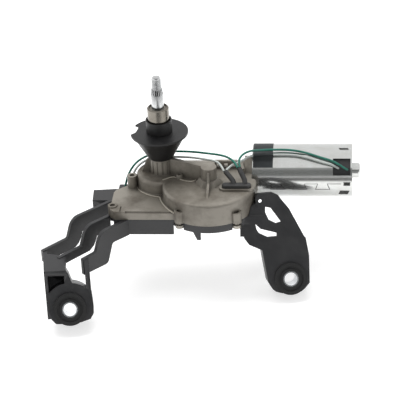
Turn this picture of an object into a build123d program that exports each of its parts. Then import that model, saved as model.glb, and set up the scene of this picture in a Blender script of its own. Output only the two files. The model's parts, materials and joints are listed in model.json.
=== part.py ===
"""Rear wiper motor: worm gearbox with swinging output spindle, on a two-leg bracket.

Frame: origin on the spindle axis in the seal's panel face, +Z up the spindle,
+X along the motor, so the bracket's feet are towards -Y. Millimetres.
"""
from math import acos, atan2, cos, degrees, hypot, pi, radians, sin, tan
import os

from build123d import *

os.makedirs("parts", exist_ok=True)

# Fits
seat_gap = 0.3            # between pieces that only rest on each other
running_clearance = 0.05  # radial, shaft in bush
slide_clearance = 0.3     # beside or above a piece that moves

# Levels of the gearbox casting
base_z = -57.7            # sealing face on the bracket
deck_top_z = -50.0        # low deck over the linkage
drum_top_z = -38.0        # top of the gear drum and of the spindle boss
wall = 3.0
deck_roof = 1.6           # roof over the linkage
cover_t = 1.2             # sheet cover let into the base
cover_lip = 1.6           # width of the ledge that the cover sits on
cover_gap = 0.1

# Spindle
spindle_r = 5.2
spindle_bottom_z = -56.2
knurl_low_z = 33.5
knurl_high_z = 40.0
knurl_small_r = 4.6
thread_r = 4.0
thread_top_z = 50.5
thread_chamfer = 0.9

# Bearing tube and seal
tube_r = 9.15
tube_top_z = 23.0
tube_bore_r = 6.6
spigot_r = 8.0
tube_shoulder_z = -24.0
spigot_bottom_z = -38.0
neck_r = 9.7
bush_top_z = 19.2
bush_length = 11.0
lower_bush_length = 12.0
bearing_foot_z = -50.6    # lowest face of the casting's spindle bearing
bearing_foot_r = 8.6
washer_t = 0.5
ring_t = 0.8
axial_play = 0.1
seal_ring_h = 1.6
tube_chamfer = 0.8
tube_mouth_r = 7.4
groove_r = 4.6
retaining_ring_r = 6.6
collar_r = 11.0
collar_top_z = 11.5
collar_lip_r = 10.0
collar_lip_depth = 4.0
flange_r = 24.3
flange_t = 1.6
skirt_r = 22.6
skirt_foot_r = 12.3
skirt_foot_z = -20.5
skirt_end_r = 11.2
seal_bottom_z = -23.0
notch_depth = 6.0
notch_points = [(-19.5, 10.7), (-18.2, 6.6), (-20.1, -2.4), (-24.1, -6.2), (-30.0, -6.0), (-26.0, 12.0)]

# Gear drum and worm drive
wheel_x = 42.0
wheel_y = -20.0
wheel_module = 1.0
wheel_teeth = 62
wheel_pitch_r = wheel_module * wheel_teeth / 2
drum_room = 1.2           # between the wheel's teeth and the drum's wall
drum_wall = 6.3
drum_cavity_r = wheel_pitch_r + wheel_module + drum_room
drum_r = drum_cavity_r + drum_wall
worm_pitch_r = 6.0
worm_root_r = 4.7
wheel_bottom_z = -50.8
wheel_t = 7.0
wheel_web_t = 3.0
wheel_rim_t = 4.0
wheel_hub_r = 8.5
axle_r = 4.0
post_r = 6.6
post_top_z = -23.0
post_foot_r = 12.6
post_foot_h = 4.6
post_foot_taper = 34.0
boss_r = 21.5
edge_fillet = 2.6

axle_top_z = -28.0
axle_clip_r = 5.6
axle_clip_t = 0.6
crank_boss_wall = 2.6

# Linkage from the wheel to the spindle
pinion_module = 1.25
pinion_teeth = 15
sector_teeth_full = 30    # teeth of the whole circle that the sector is part of
pinion_top_z = -51.25
pinion_t = 3.35
sector_top_z = -52.2
sector_t = 2.3
link_top_z = -54.8
link_t = 1.4
crank_throw = 9.0
crank_pin_r = 3.0
joint_pin_r = 3.0
link_angle = -110.0       # from the spindle to the sector's pin, at rest
backlash = 0.16
sector_first_tooth = -4
sector_last_tooth = 1
rod_eye_r = 6.0
rod_width = 9.0
crank_eye_r = 5.6
link_eye_r = 8.6
link_width = 10.0

# Motor
motor_z = -47.3
yoke_start_x = 77.0
yoke_end_x = 160.0
yoke_r = 23.0
yoke_wall = 2.0
yoke_flat_r = yoke_r - 0.7   # distance of the two flats from the axis
yoke_front_t = 1.2        # closed front end of the casing
yoke_flat_tilt = 49.0     # degrees above the horizontal
motor_flange_t = 6.0
shaft_r = 4.0
shaft_end_r = 3.0
worm_start_x = 29.0
worm_end_x = 55.0
shaft_start_x = 17.0
shaft_tip_x = yoke_end_x + 4.6
magnet_start_x = yoke_start_x + 9.0
magnet_length = yoke_end_x - magnet_start_x - 28.0
magnet_t = 4.4
magnet_span = 130.0
core_r = yoke_r - yoke_wall - magnet_t - 1.2
core_start_x = magnet_start_x + 6.0
core_length = magnet_length - 10.0
core_slots = 12
winding_r = core_r - 1.4
winding_length = 6.0
commutator_r = 9.0
commutator_start_x = yoke_end_x - 22.0
commutator_length = 11.0
dome_r = 6.6
dome_length = 6.8
end_plate_t = 1.4
ear_t = 1.6
screw_head_r = 3.6
screw_head_h = 2.6
window_tilt = 36.5        # middle of the brush window, above the horizontal
window_length = 14.8
window_width = 14.5
shaft_step_x = yoke_end_x - 8.0
slot_depth = 6.0
slot_width = 4.2
slot_mouth = 1.6
slot_mouth_depth = 2.4
winding_bore_r = 5.0
worm_bush_length = 6.0
holder_start_x = yoke_end_x - 19.0
holder_plate_t = 5.0
brush_length = 8.0
brush_width = 5.0
dome_wall = 1.4
rear_bush_length = 4.6

# Bracket
bracket_top_z = base_z
rail_h = 14.2
rib_t = 3.2
plate_t = 2.4
tray_window_r = 27.0
lip_h = 6.8
hook_y = 52.0             # distance in front of the spindle
hook_t = 3.0
tab_h = 6.6
arm_depth = 9.0
arm_skin = 3.0
foot_turn = 10.0          # the two feet face the viewer, turned this much to +X
foot_lift = 24.0          # and tipped up this much
left_foot = (45.5, -86.9, -136.2)   # face's distance from the origin, bore across, bore up
right_foot = (26.0, 98.3, -130.6)
foot_depth = 20.0
foot_wall = 2.8
foot_boss_depth = 16.0
foot_boss_wall = 2.4
bush_waist_r = 9.6
bush_front_r = 13.6
bush_front_t = 1.8
bush_back_r = 11.6
bush_back_t = 2.4
sleeve_r = 6.5
sleeve_bore_r = 5.4
bush_groove_in_r = 8.4    # ring groove in each bush's front face
bush_groove_out_r = 10.6
bush_groove_depth = 0.9
sleeve_proud = 0.6
rib_drop = 15.9           # height of the step in the left arm
rib_step_length = 6.3

# Leads
lead_r = 0.95
lead_sleeve_r = 2.1
lead_end_gap = 0.9
connector_x = (-39.0, -24.0)
connector_y = (3.5, 12.5)
connector_z = (-76.0, -58.4)
lead_end_green = (-33.6, 7.6, -58.0)
lead_end_grey = (-28.0, 7.6, -58.0)


def label_and_export(part, name):
    """Name a finished piece and write it as one STEP file."""
    part.label = name
    export_step(part, f"parts/{name}.step")


def involute_half_tooth(pitch_r, module, thin, steps=4):
    """Angle and radius of one flank, from root to tip, measured from the tooth's middle."""
    pressure = radians(20)
    base_r = pitch_r * cos(pressure)
    root_r = pitch_r - 1.25 * module
    tip_r = pitch_r + module
    half = (pi * module / 2 - thin) / (2 * pitch_r)
    inv_pitch = tan(pressure) - pressure
    points = []
    start = max(base_r, root_r)
    for step in range(steps + 1):
        radius = start + (tip_r - start) * step / steps
        roll = acos(min(1.0, base_r / radius))
        points.append((half + inv_pitch - (tan(roll) - roll), radius))
    if root_r < base_r:
        points.insert(0, (points[0][0], root_r))
    return points


def tooth_outline(pitch_r, module, thin):
    """Closed outline of one tooth about the X axis, reaching into the body below its root."""
    flank = involute_half_tooth(pitch_r, module, thin)
    inner = pitch_r - 2.2 * module
    right = [(r * cos(a), -r * sin(a)) for a, r in flank]
    left = [(r * cos(a), r * sin(a)) for a, r in reversed(flank)]
    foot = flank[0][0]
    below = [(inner * cos(foot), inner * sin(foot)), (inner * cos(foot), -inner * sin(foot))]
    return right + left + below


pinion_pitch_r = pinion_module * pinion_teeth / 2
sector_pitch_r = pinion_module * sector_teeth_full / 2
motor_y = wheel_y + wheel_pitch_r + worm_pitch_r
link_length = pinion_pitch_r + sector_pitch_r
pin_x = link_length * cos(radians(link_angle))
pin_y = link_length * sin(radians(link_angle))
rod_angle = atan2(wheel_y - pin_y, wheel_x - pin_x)
crank_x = wheel_x + crank_throw * sin(rod_angle)
crank_y = wheel_y - crank_throw * cos(rod_angle)


def motor_plane(x):
    """Plane across the motor's axis at x; its own x is +Y and its own y is +Z."""
    return Plane(origin=(x, motor_y, motor_z), x_dir=(0, 1, 0), z_dir=(1, 0, 0))


def foot_plane(distance, bore_across, bore_up):
    """Face of a foot at this distance from the origin, with its origin on the bore's axis."""
    turn = radians(foot_turn)
    lift = radians(foot_lift)
    normal = Vector(sin(turn) * cos(lift), -cos(turn) * cos(lift), sin(lift))
    across = Vector(cos(turn), sin(turn), 0)
    up = normal.cross(across)
    origin = normal * distance + across * bore_across + up * bore_up
    return Plane(origin=origin, x_dir=across, z_dir=normal)


def circle_at(x, y, radius):
    """Add a circle to the open sketch with its centre at x, y."""
    with Locations((x, y)):
        Circle(radius)


def box_between(x_low, x_high, y_low, y_high, z_low, z_high, mode=Mode.ADD):
    """Add or cut a box given by its low and high corners."""
    with Locations(((x_low + x_high) / 2, (y_low + y_high) / 2, (z_low + z_high) / 2)):
        Box(x_high - x_low, y_high - y_low, z_high - z_low, mode=mode)


# Plan of the casting's low deck
deck_left = -40.0
deck_front = -48.5
deck_back_left = (-38.5, -11.7)
deck_back = (-20.0, 3.5)
deck_points = [
    deck_back_left,
    (deck_left, -16.0),
    (deck_left, -44.5),
    (deck_left + 4.0, deck_front),
    (20.0, deck_front),
    (20.0, 5.0),
    deck_back,
]

deck_slot = (-31.6, -30.6, -48.3, -40.0)   # shallow slot in the deck: x and y limits
deck_slot_depth = 0.8
deck_step_x = (-27.0, 13.0)
deck_step_w = 1.1         # ledge along the deck's front edge
deck_step_h = 1.4

# Screw bosses of the casting: x, y, radius, top
boss_screw_r = 2.0
boss_clearance = 0.1
boss_hole_r = boss_screw_r + boss_clearance
screw_bosses = [
    (-38.4, -38.7, 4.0, -49.2),
    (-24.8, -6.6, 4.2, -38.5),
    (18.7, -51.3, 4.3, -46.8),
    (66.2, -51.4, 4.3, -48.0),
    (-9.0, 18.2, 4.2, -46.0),
]

# Motor flange and gearbox block beside the drum
block_x = 62.0
flange_start_x = yoke_start_x - motor_flange_t
motor_flange_r = yoke_r + 1.0
flange_cut_h = 14.3       # height of the flange's sloping top over the motor's axis
flange_cut_angle = 30.0
tunnel_r = 8.9
tunnel_start_x = 12.0
tunnel_cavity_r = 7.2
front_bush_length = 7.0
front_bush_r = 6.5
ear_angle = -21.5         # of the motor screw on each side, above the horizontal
ear_r = yoke_r + screw_head_r + 0.4
ear_boss_r = 4.2
corner_x = 69.6
corner_y = -14.0
corner_back_y = 8.0
motor_screw_r = 2.0

# Web from the neck to the post, and the fins
web_t = 3.2
web_top_z = -23.3
fin_t = 2.2
post_fin_front_y = -49.0
post_fin_top_z = -24.5
neck_fin_x = -17.0
neck_fin_top_x = -12.35
neck_grooves = 14
neck_groove_w = 1.1
neck_groove_depth = 0.5
boss_bead = 0.9           # raised bead round the foot of the spindle boss
comb_start_x = 45.0
comb_end_x = 64.0
comb_y = 4.0
comb_t = 3.0
comb_top_z = -31.0
comb_notch = 3.2
comb_notches = 3

# Grommet on the drum
grommet_x = 65.5
grommet_y = -30.6
grommet_length = 24.4
grommet_width = 6.4
grommet_h = 4.4
grommet_depth = 2.4
grommet_rim = 1.8
grommet_rim_end = 2.3
grommet_rim_h = 1.7

# Rib on the drum beside the flange
flange_rib_points = [(65.4, 9.6), (68.0, 9.6), (71.2, -5.8), (68.6, -5.8)]
flange_rib_top_z = -33.0


def ear_spots(radius):
    """Places of the two ears at this distance from the motor's axis, in a motor plane."""
    angle = radians(ear_angle)
    return [(side * radius * cos(angle), radius * sin(angle)) for side in (-1, 1)]


def ear_shape():
    """Add both ears and their webs from the motor's axis to the open sketch."""
    with Locations(*ear_spots(ear_r)):
        Circle(ear_boss_r)
    for spot, turn in zip(ear_spots(ear_r / 2), (-ear_angle, ear_angle)):
        with Locations(spot):
            Rectangle(ear_r, 2 * ear_boss_r, rotation=turn)


with BuildPart() as gear_housing:
    with BuildSketch(Plane.XY.offset(base_z)):
        with BuildLine():
            Polyline(*deck_points, close=True)
        make_face()
    extrude(amount=deck_top_z - base_z)
    with BuildSketch(Plane.XY.offset(base_z)):
        circle_at(wheel_x, wheel_y, drum_r)
        circle_at(0, 0, boss_r)
    extrude(amount=drum_top_z - base_z)
    rims = gear_housing.edges().filter_by(GeomType.CIRCLE).group_by(Axis.Z)[-1]
    fillet(rims, radius=edge_fillet)
    box_between(tunnel_start_x, flange_start_x + 1, wheel_y + 18, motor_y + tunnel_r, base_z, motor_z)
    box_between(block_x, flange_start_x + 1, wheel_y + 12, motor_y + tunnel_r, base_z, motor_z)
    with BuildSketch(motor_plane(tunnel_start_x)):
        Circle(tunnel_r)
    extrude(amount=flange_start_x + 1 - tunnel_start_x)
    with BuildSketch(motor_plane(flange_start_x)):
        Circle(motor_flange_r)
        ear_shape()
    extrude(amount=motor_flange_t)
    flange_cut_fall = ear_r * tan(radians(flange_cut_angle))
    with BuildSketch(motor_plane(flange_start_x)):
        Polygon(
            (-ear_r, flange_cut_h + flange_cut_fall), (ear_r, flange_cut_h - flange_cut_fall),
            (ear_r, 2 * ear_r), (-ear_r, 2 * ear_r), align=None,
        )
    extrude(amount=motor_flange_t, mode=Mode.SUBTRACT)
    with BuildSketch(Plane.XY.offset(drum_top_z - 1)):
        Polygon(*flange_rib_points, align=None)
    extrude(amount=flange_rib_top_z - drum_top_z + 1)
    for boss_x, boss_y, boss_rad, boss_top in screw_bosses:
        with BuildSketch(Plane.XY.offset(base_z)):
            circle_at(boss_x, boss_y, boss_rad)
        extrude(amount=boss_top - base_z)

    # Slot and ledge of the deck
    box_between(*deck_slot, deck_top_z - deck_slot_depth, deck_top_z, mode=Mode.SUBTRACT)
    box_between(
        *deck_step_x, deck_front, deck_front + deck_step_w,
        deck_top_z - deck_step_h, deck_top_z, mode=Mode.SUBTRACT,
    )

    # Neck of the spindle bearing, with its fins
    with BuildSketch(Plane.XY.offset(drum_top_z - 1)):
        Circle(neck_r)
    extrude(amount=tube_shoulder_z - drum_top_z + 1)
    with BuildSketch(Plane.XY.offset(drum_top_z + 1)):
        with PolarLocations(neck_r, neck_grooves):
            Rectangle(2 * neck_groove_depth, neck_groove_w)
    extrude(amount=tube_shoulder_z - drum_top_z - 2, mode=Mode.SUBTRACT)
    with BuildSketch(Plane.XY.offset(deck_top_z)):
        Circle(boss_r + boss_bead)
    extrude(amount=boss_bead)
    with BuildSketch(Plane.XZ) as neck_fin:
        with BuildLine():
            Polyline(
                (-neck_r + 2, tube_shoulder_z - 1),
                (neck_fin_top_x, tube_shoulder_z - 2.5),
                (neck_fin_x, drum_top_z - 0.5),
                (-neck_r + 2, drum_top_z - 0.5),
                close=True,
            )
        make_face()
    extrude(amount=fin_t / 2, both=True)

    # Post over the wheel's axle, on its six-sided foot
    with BuildSketch(Plane.XY.offset(drum_top_z - 1)):
        circle_at(wheel_x, wheel_y, post_r)
    extrude(amount=post_top_z - drum_top_z + 1)
    with BuildSketch(Plane.XY.offset(drum_top_z - 1)):
        with Locations((wheel_x, wheel_y)):
            RegularPolygon(post_foot_r, 6)
    extrude(amount=post_foot_h + 1, taper=post_foot_taper)

    # Web between neck and post
    web_length = hypot(wheel_x, wheel_y)
    web_turn = degrees(atan2(wheel_y, wheel_x))
    web_plane = Plane.XY.offset(drum_top_z - 1).rotated((0, 0, web_turn))
    with BuildSketch(web_plane):
        with Locations((web_length / 2, 0)):
            Rectangle(web_length - 4, web_t)
    extrude(amount=web_top_z - drum_top_z + 1)

    # Fin from the post to the drum's front
    with BuildSketch(Plane.YZ.offset(wheel_x)):
        with BuildLine():
            Polyline(
                (wheel_y - post_r + 2, post_fin_top_z),
                (wheel_y - post_r - 1, post_fin_top_z - 1),
                (wheel_y - post_r - 4, drum_top_z + 5),
                (post_fin_front_y, drum_top_z - 0.6),
                (wheel_y - post_r + 2, drum_top_z - 0.6),
                close=True,
            )
        make_face()
    extrude(amount=fin_t / 2, both=True)

    # Comb behind the post that the leads are laid over
    box_between(comb_start_x, comb_end_x, comb_y, comb_y + comb_t, drum_top_z - 1, comb_top_z)
    comb_pitch = (comb_end_x - comb_start_x) / comb_notches
    for notch in range(comb_notches):
        notch_x = comb_start_x + (notch + 0.5) * comb_pitch
        box_between(
            notch_x - comb_notch / 2, notch_x + comb_notch / 2, comb_y - 1, comb_y + comb_t + 1,
            drum_top_z + 1.5, comb_top_z - 2.2, mode=Mode.SUBTRACT,
        )

    # Rim and seat of the lead grommet
    with BuildSketch(Plane.XY.offset(drum_top_z - 1)):
        with Locations((grommet_x, grommet_y)):
            SlotOverall(grommet_length + 2 * grommet_rim_end, grommet_width + 2 * grommet_rim)
    extrude(amount=grommet_rim_h + 1)
    with BuildSketch(Plane.XY.offset(drum_top_z - grommet_depth)):
        with Locations((grommet_x, grommet_y)):
            SlotOverall(grommet_length, grommet_width)
    extrude(amount=grommet_depth + grommet_rim_h, mode=Mode.SUBTRACT)

    # Hollows: drum, linkage space, worm tunnel
    with BuildSketch(Plane.XY.offset(base_z)):
        circle_at(wheel_x, wheel_y, drum_cavity_r)
    extrude(amount=drum_top_z - wall - base_z, mode=Mode.SUBTRACT)
    with BuildSketch(Plane.XY.offset(base_z)):
        Circle(boss_r - wall)
    extrude(amount=drum_top_z - wall - base_z, mode=Mode.SUBTRACT)
    with BuildSketch(Plane.XY.offset(base_z)):
        with BuildLine():
            Polyline(*deck_points, close=True)
        make_face()
        offset(amount=-wall, mode=Mode.REPLACE, kind=Kind.INTERSECTION)
    extrude(amount=deck_top_z - deck_roof - base_z, mode=Mode.SUBTRACT)
    with BuildSketch(motor_plane(tunnel_start_x + wall)):
        Circle(tunnel_cavity_r)
    extrude(amount=yoke_start_x - front_bush_length - tunnel_start_x - wall, mode=Mode.SUBTRACT)

    # Solid corner behind the lower motor screw, and the drum cut flush with the flange
    box_between(corner_x, yoke_start_x, corner_y, corner_back_y, base_z, wheel_bottom_z - seat_gap)
    box_between(yoke_start_x, yoke_start_x + drum_r, corner_y, motor_y, base_z, drum_top_z, mode=Mode.SUBTRACT)

    # Bearings of the spindle and the wheel's axle
    with BuildSketch(Plane.XY.offset(bearing_foot_z)):
        Circle(bearing_foot_r)
    extrude(amount=drum_top_z - bearing_foot_z - 1)
    with BuildSketch(Plane.XY.offset(bearing_foot_z)):
        Circle(tube_bore_r)
    extrude(amount=tube_shoulder_z - bearing_foot_z, mode=Mode.SUBTRACT)
    with BuildSketch(Plane.XY.offset(spigot_bottom_z)):
        Circle(spigot_r)
    extrude(amount=tube_shoulder_z - spigot_bottom_z, mode=Mode.SUBTRACT)
    with BuildSketch(Plane.XY.offset(tube_shoulder_z)):
        Circle(tube_r + seat_gap)
    extrude(amount=web_top_z - tube_shoulder_z, mode=Mode.SUBTRACT)
    with BuildSketch(Plane.XY.offset(drum_top_z - wall - 1)):
        circle_at(wheel_x, wheel_y, axle_r)
    extrude(amount=axle_top_z - drum_top_z + wall + 1, mode=Mode.SUBTRACT)

    # Screw bosses, left standing in the hollows
    for boss_x, boss_y, boss_rad, boss_top in screw_bosses:
        with BuildSketch(Plane.XY.offset(base_z)):
            circle_at(boss_x, boss_y, boss_rad)
        extrude(amount=min(boss_top, deck_top_z + 1) - base_z)

    # Recess for the base cover, stopped round the bosses
    with BuildSketch(Plane.XY.offset(base_z)):
        with BuildLine():
            Polyline(*deck_points, close=True)
        make_face()
        offset(amount=cover_lip - wall, mode=Mode.REPLACE, kind=Kind.INTERSECTION)
        circle_at(wheel_x, wheel_y, drum_cavity_r + cover_lip)
        circle_at(0, 0, boss_r - wall + cover_lip)
        for boss_x, boss_y, boss_rad, boss_top in screw_bosses:
            with Locations((boss_x, boss_y)):
                Circle(boss_rad, mode=Mode.SUBTRACT)
        with Locations((corner_x, corner_y)):
            Rectangle(drum_r, drum_r, align=(Align.MIN, Align.MIN), mode=Mode.SUBTRACT)
    extrude(amount=cover_t, mode=Mode.SUBTRACT)

    # Holes: bosses, motor bush, motor screws
    for boss_x, boss_y, boss_rad, boss_top in screw_bosses:
        with BuildSketch(Plane.XY.offset(base_z)):
            circle_at(boss_x, boss_y, boss_hole_r)
        extrude(amount=boss_top - base_z, mode=Mode.SUBTRACT)
    with BuildSketch(motor_plane(yoke_start_x)):
        Circle(front_bush_r)
    extrude(amount=-front_bush_length - 1, mode=Mode.SUBTRACT)
    with BuildSketch(motor_plane(yoke_start_x)):
        with Locations(*ear_spots(ear_r)):
            Circle(motor_screw_r + boss_clearance)
    extrude(amount=-motor_flange_t, mode=Mode.SUBTRACT)
label_and_export(gear_housing.part, "gear_housing")

# Sheet cover let into the casting's base
with BuildPart() as base_cover:
    with BuildSketch(Plane.XY.offset(base_z)):
        with BuildLine():
            Polyline(*deck_points, close=True)
        make_face()
        offset(amount=cover_lip - wall - cover_gap, mode=Mode.REPLACE, kind=Kind.INTERSECTION)
        circle_at(wheel_x, wheel_y, drum_cavity_r + cover_lip - cover_gap)
        circle_at(0, 0, boss_r - wall + cover_lip - cover_gap)
        for boss_x, boss_y, boss_rad, boss_top in screw_bosses:
            with Locations((boss_x, boss_y)):
                Circle(boss_rad + cover_gap, mode=Mode.SUBTRACT)
        with Locations((corner_x - cover_gap, corner_y - cover_gap)):
            Rectangle(drum_r, drum_r, align=(Align.MIN, Align.MIN), mode=Mode.SUBTRACT)
    extrude(amount=cover_t)
label_and_export(base_cover.part, "base_cover")

# Steel tube round the spindle, pressed into the neck
with BuildPart() as bearing_tube:
    with BuildSketch(Plane.XZ):
        with BuildLine():
            Polyline(
                (tube_bore_r, spigot_bottom_z),
                (spigot_r, spigot_bottom_z),
                (spigot_r, tube_shoulder_z),
                (tube_r, tube_shoulder_z),
                (tube_r, tube_top_z - tube_chamfer),
                (tube_r - tube_chamfer, tube_top_z),
                (tube_mouth_r, tube_top_z),
                (tube_mouth_r, bush_top_z),
                (tube_bore_r, bush_top_z),
                close=True,
            )
        make_face()
    revolve(axis=Axis.Z)
label_and_export(bearing_tube.part, "bearing_tube")


def make_ring(inner, outer, bottom, height, name, plane=Plane.XY):
    """A plain ring standing on its plane, written under its name."""
    with BuildPart() as ring:
        with BuildSketch(plane.offset(bottom)):
            Circle(outer)
            Circle(inner, mode=Mode.SUBTRACT)
        extrude(amount=height)
    label_and_export(ring.part, name)
    return ring.part


bush_inner_r = spindle_r + running_clearance
make_ring(bush_inner_r, tube_bore_r, bush_top_z - bush_length, bush_length, "upper_bush")
make_ring(bush_inner_r, tube_bore_r, bearing_foot_z, lower_bush_length, "lower_bush")
make_ring(
    bush_inner_r, bearing_foot_r - 0.4, bearing_foot_z - washer_t, washer_t, "lower_thrust_washer",
)
seal_ring_z = bush_top_z
upper_washer_z = seal_ring_z + seal_ring_h
retaining_ring_z = upper_washer_z + washer_t + axial_play
make_ring(bush_inner_r, tube_mouth_r, seal_ring_z, seal_ring_h, "spindle_seal_ring")
make_ring(bush_inner_r, tube_mouth_r - 0.2, upper_washer_z, washer_t, "upper_thrust_washer")

# Spindle: knurled cone and threaded stud for the arm, pinion seat below
with BuildPart() as wiper_spindle:
    with BuildSketch(Plane.XZ):
        with BuildLine():
            Polyline(
                (0, spindle_bottom_z),
                (spindle_r, spindle_bottom_z),
                (spindle_r, retaining_ring_z),
                (groove_r, retaining_ring_z),
                (groove_r, retaining_ring_z + ring_t),
                (spindle_r, retaining_ring_z + ring_t),
                (spindle_r, knurl_low_z),
                (knurl_small_r, knurl_high_z),
                (thread_r, knurl_high_z),
                (thread_r, thread_top_z - thread_chamfer),
                (thread_r - thread_chamfer, thread_top_z),
                (0, thread_top_z),
                close=True,
            )
        make_face()
    revolve(axis=Axis.Z)
label_and_export(wiper_spindle.part, "wiper_spindle")
make_ring(groove_r, retaining_ring_r, retaining_ring_z, ring_t, "retaining_ring")

# Pinion fixed on the spindle's foot
pinion_phase = link_angle + 180 / pinion_teeth
with BuildPart() as spindle_pinion:
    with BuildSketch(Plane.XY.offset(pinion_top_z - pinion_t)):
        Circle(pinion_pitch_r - 1.25 * pinion_module)
        with PolarLocations(0, pinion_teeth, start_angle=pinion_phase):
            Polygon(*tooth_outline(pinion_pitch_r, pinion_module, backlash), align=None)
        Circle(spindle_r, mode=Mode.SUBTRACT)
    extrude(amount=pinion_t)
label_and_export(spindle_pinion.part, "spindle_pinion")

# Toothed sector on the end of the rod that the crank drives
sector_direction = link_angle + 180
sector_pitch_angle = 360 / sector_teeth_full
sector_low = sector_direction + (sector_first_tooth - 0.5) * sector_pitch_angle
sector_high = sector_direction + (sector_last_tooth + 0.5) * sector_pitch_angle
with BuildPart() as toothed_sector:
    with BuildSketch(Plane.XY.offset(sector_top_z - sector_t)):
        with BuildLine():
            sector_arc = CenterArc(
                (pin_x, pin_y), sector_pitch_r - 1.25 * pinion_module, sector_low, sector_high - sector_low,
            )
            Line(sector_arc @ 1, (pin_x, pin_y))
            Line((pin_x, pin_y), sector_arc @ 0)
        make_face()
        with Locations((pin_x, pin_y)):
            Circle(rod_eye_r)
            for tooth in range(sector_first_tooth, sector_last_tooth + 1):
                Polygon(
                    *tooth_outline(sector_pitch_r, pinion_module, backlash),
                    rotation=sector_direction + tooth * sector_pitch_angle, align=None,
                )
        circle_at(crank_x, crank_y, crank_eye_r)
        with Locations(((pin_x + crank_x) / 2, (pin_y + crank_y) / 2)):
            Rectangle(hypot(crank_x - pin_x, crank_y - pin_y), rod_width, rotation=degrees(rod_angle))
        for hole_x, hole_y, hole_r in (
            (pin_x, pin_y, joint_pin_r + running_clearance),
            (crank_x, crank_y, crank_pin_r + running_clearance),
        ):
            with Locations((hole_x, hole_y)):
                Circle(hole_r, mode=Mode.SUBTRACT)
    extrude(amount=sector_t)
label_and_export(toothed_sector.part, "toothed_sector")

# Link that holds the sector's pin at its distance from the spindle
with BuildPart() as link_plate:
    with BuildSketch(Plane.XY.offset(link_top_z - link_t)):
        circle_at(0, 0, link_eye_r)
        circle_at(pin_x, pin_y, rod_eye_r)
        with Locations((pin_x / 2, pin_y / 2)):
            Rectangle(link_length, link_width, rotation=link_angle)
        Circle(spindle_r + running_clearance, mode=Mode.SUBTRACT)
        with Locations((pin_x, pin_y)):
            Circle(joint_pin_r, mode=Mode.SUBTRACT)
    extrude(amount=link_t)
label_and_export(link_plate.part, "link_plate")

pin_plane = Plane.XY.move(Location((pin_x, pin_y, 0)))
with BuildPart() as link_pin:
    with BuildSketch(pin_plane.offset(link_top_z - link_t)):
        Circle(joint_pin_r)
    extrude(amount=deck_top_z - deck_roof - slide_clearance - link_top_z + link_t)
label_and_export(link_pin.part, "link_pin")

# Worm wheel with its web, hub and crank boss
wheel_plane = Plane.XY.move(Location((wheel_x, wheel_y, 0)))
wheel_root_r = wheel_pitch_r - 1.25 * wheel_module
hub_top_z = drum_top_z - wall - slide_clearance
with BuildPart() as worm_wheel:
    with BuildSketch(wheel_plane.offset(wheel_bottom_z)):
        Circle(wheel_root_r)
        with PolarLocations(0, wheel_teeth, start_angle=90 + 180 / wheel_teeth):
            Polygon(*tooth_outline(wheel_pitch_r, wheel_module, backlash), align=None)
    extrude(amount=wheel_t)
    with BuildSketch(wheel_plane.offset(wheel_bottom_z + wheel_web_t)):
        Circle(wheel_root_r - wheel_rim_t)
    extrude(amount=wheel_t, mode=Mode.SUBTRACT)
    with BuildSketch(wheel_plane.offset(wheel_bottom_z)):
        Circle(wheel_hub_r)
    extrude(amount=hub_top_z - wheel_bottom_z)
    with BuildSketch(Plane.XY.offset(wheel_bottom_z)):
        circle_at(crank_x, crank_y, crank_pin_r + crank_boss_wall)
    extrude(amount=wheel_t)
    with BuildSketch(wheel_plane.offset(wheel_bottom_z)):
        Circle(axle_r + running_clearance)
    extrude(amount=hub_top_z - wheel_bottom_z, mode=Mode.SUBTRACT)
    with BuildSketch(Plane.XY.offset(wheel_bottom_z)):
        circle_at(crank_x, crank_y, crank_pin_r)
    extrude(amount=wheel_t, mode=Mode.SUBTRACT)
label_and_export(worm_wheel.part, "worm_wheel")

# The crank pin stops just above the rod's eye: this pivot is left open
with BuildPart() as crank_pin:
    with BuildSketch(Plane.XY.offset(sector_top_z + slide_clearance)):
        circle_at(crank_x, crank_y, crank_pin_r)
    extrude(amount=wheel_bottom_z + wheel_t - sector_top_z - slide_clearance)
label_and_export(crank_pin.part, "crank_pin")

axle_clip_top_z = wheel_bottom_z - slide_clearance
axle_bottom_z = axle_clip_top_z - axle_clip_t
with BuildPart() as wheel_axle:
    with BuildSketch(wheel_plane.offset(axle_bottom_z)):
        Circle(axle_r)
    extrude(amount=axle_top_z - axle_bottom_z)
label_and_export(wheel_axle.part, "wheel_axle")
make_ring(axle_r, axle_clip_r, axle_bottom_z, axle_clip_t, "axle_clip", wheel_plane)

# Rubber seal: sleeve on the tube, flange against the panel, hollow-looking skirt below
with BuildPart() as panel_seal:
    with BuildSketch(Plane.XZ):
        with BuildLine():
            Polyline(
                (tube_r, seal_bottom_z),
                (skirt_end_r, seal_bottom_z),
                (skirt_foot_r, skirt_foot_z),
                (skirt_r, -flange_t),
                (flange_r, -flange_t),
                (flange_r, 0),
                (collar_r, 0),
                (collar_r, collar_top_z),
                (collar_lip_r, collar_top_z),
                (collar_lip_r, collar_top_z - collar_lip_depth),
                (tube_r, collar_top_z - collar_lip_depth),
                close=True,
            )
        make_face()
    revolve(axis=Axis.Z)
    with BuildSketch(Plane.XY.offset(-notch_depth)):
        Polygon(*notch_points, align=None)
    extrude(amount=notch_depth + 1, mode=Mode.SUBTRACT)
label_and_export(panel_seal.part, "panel_seal")

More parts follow.
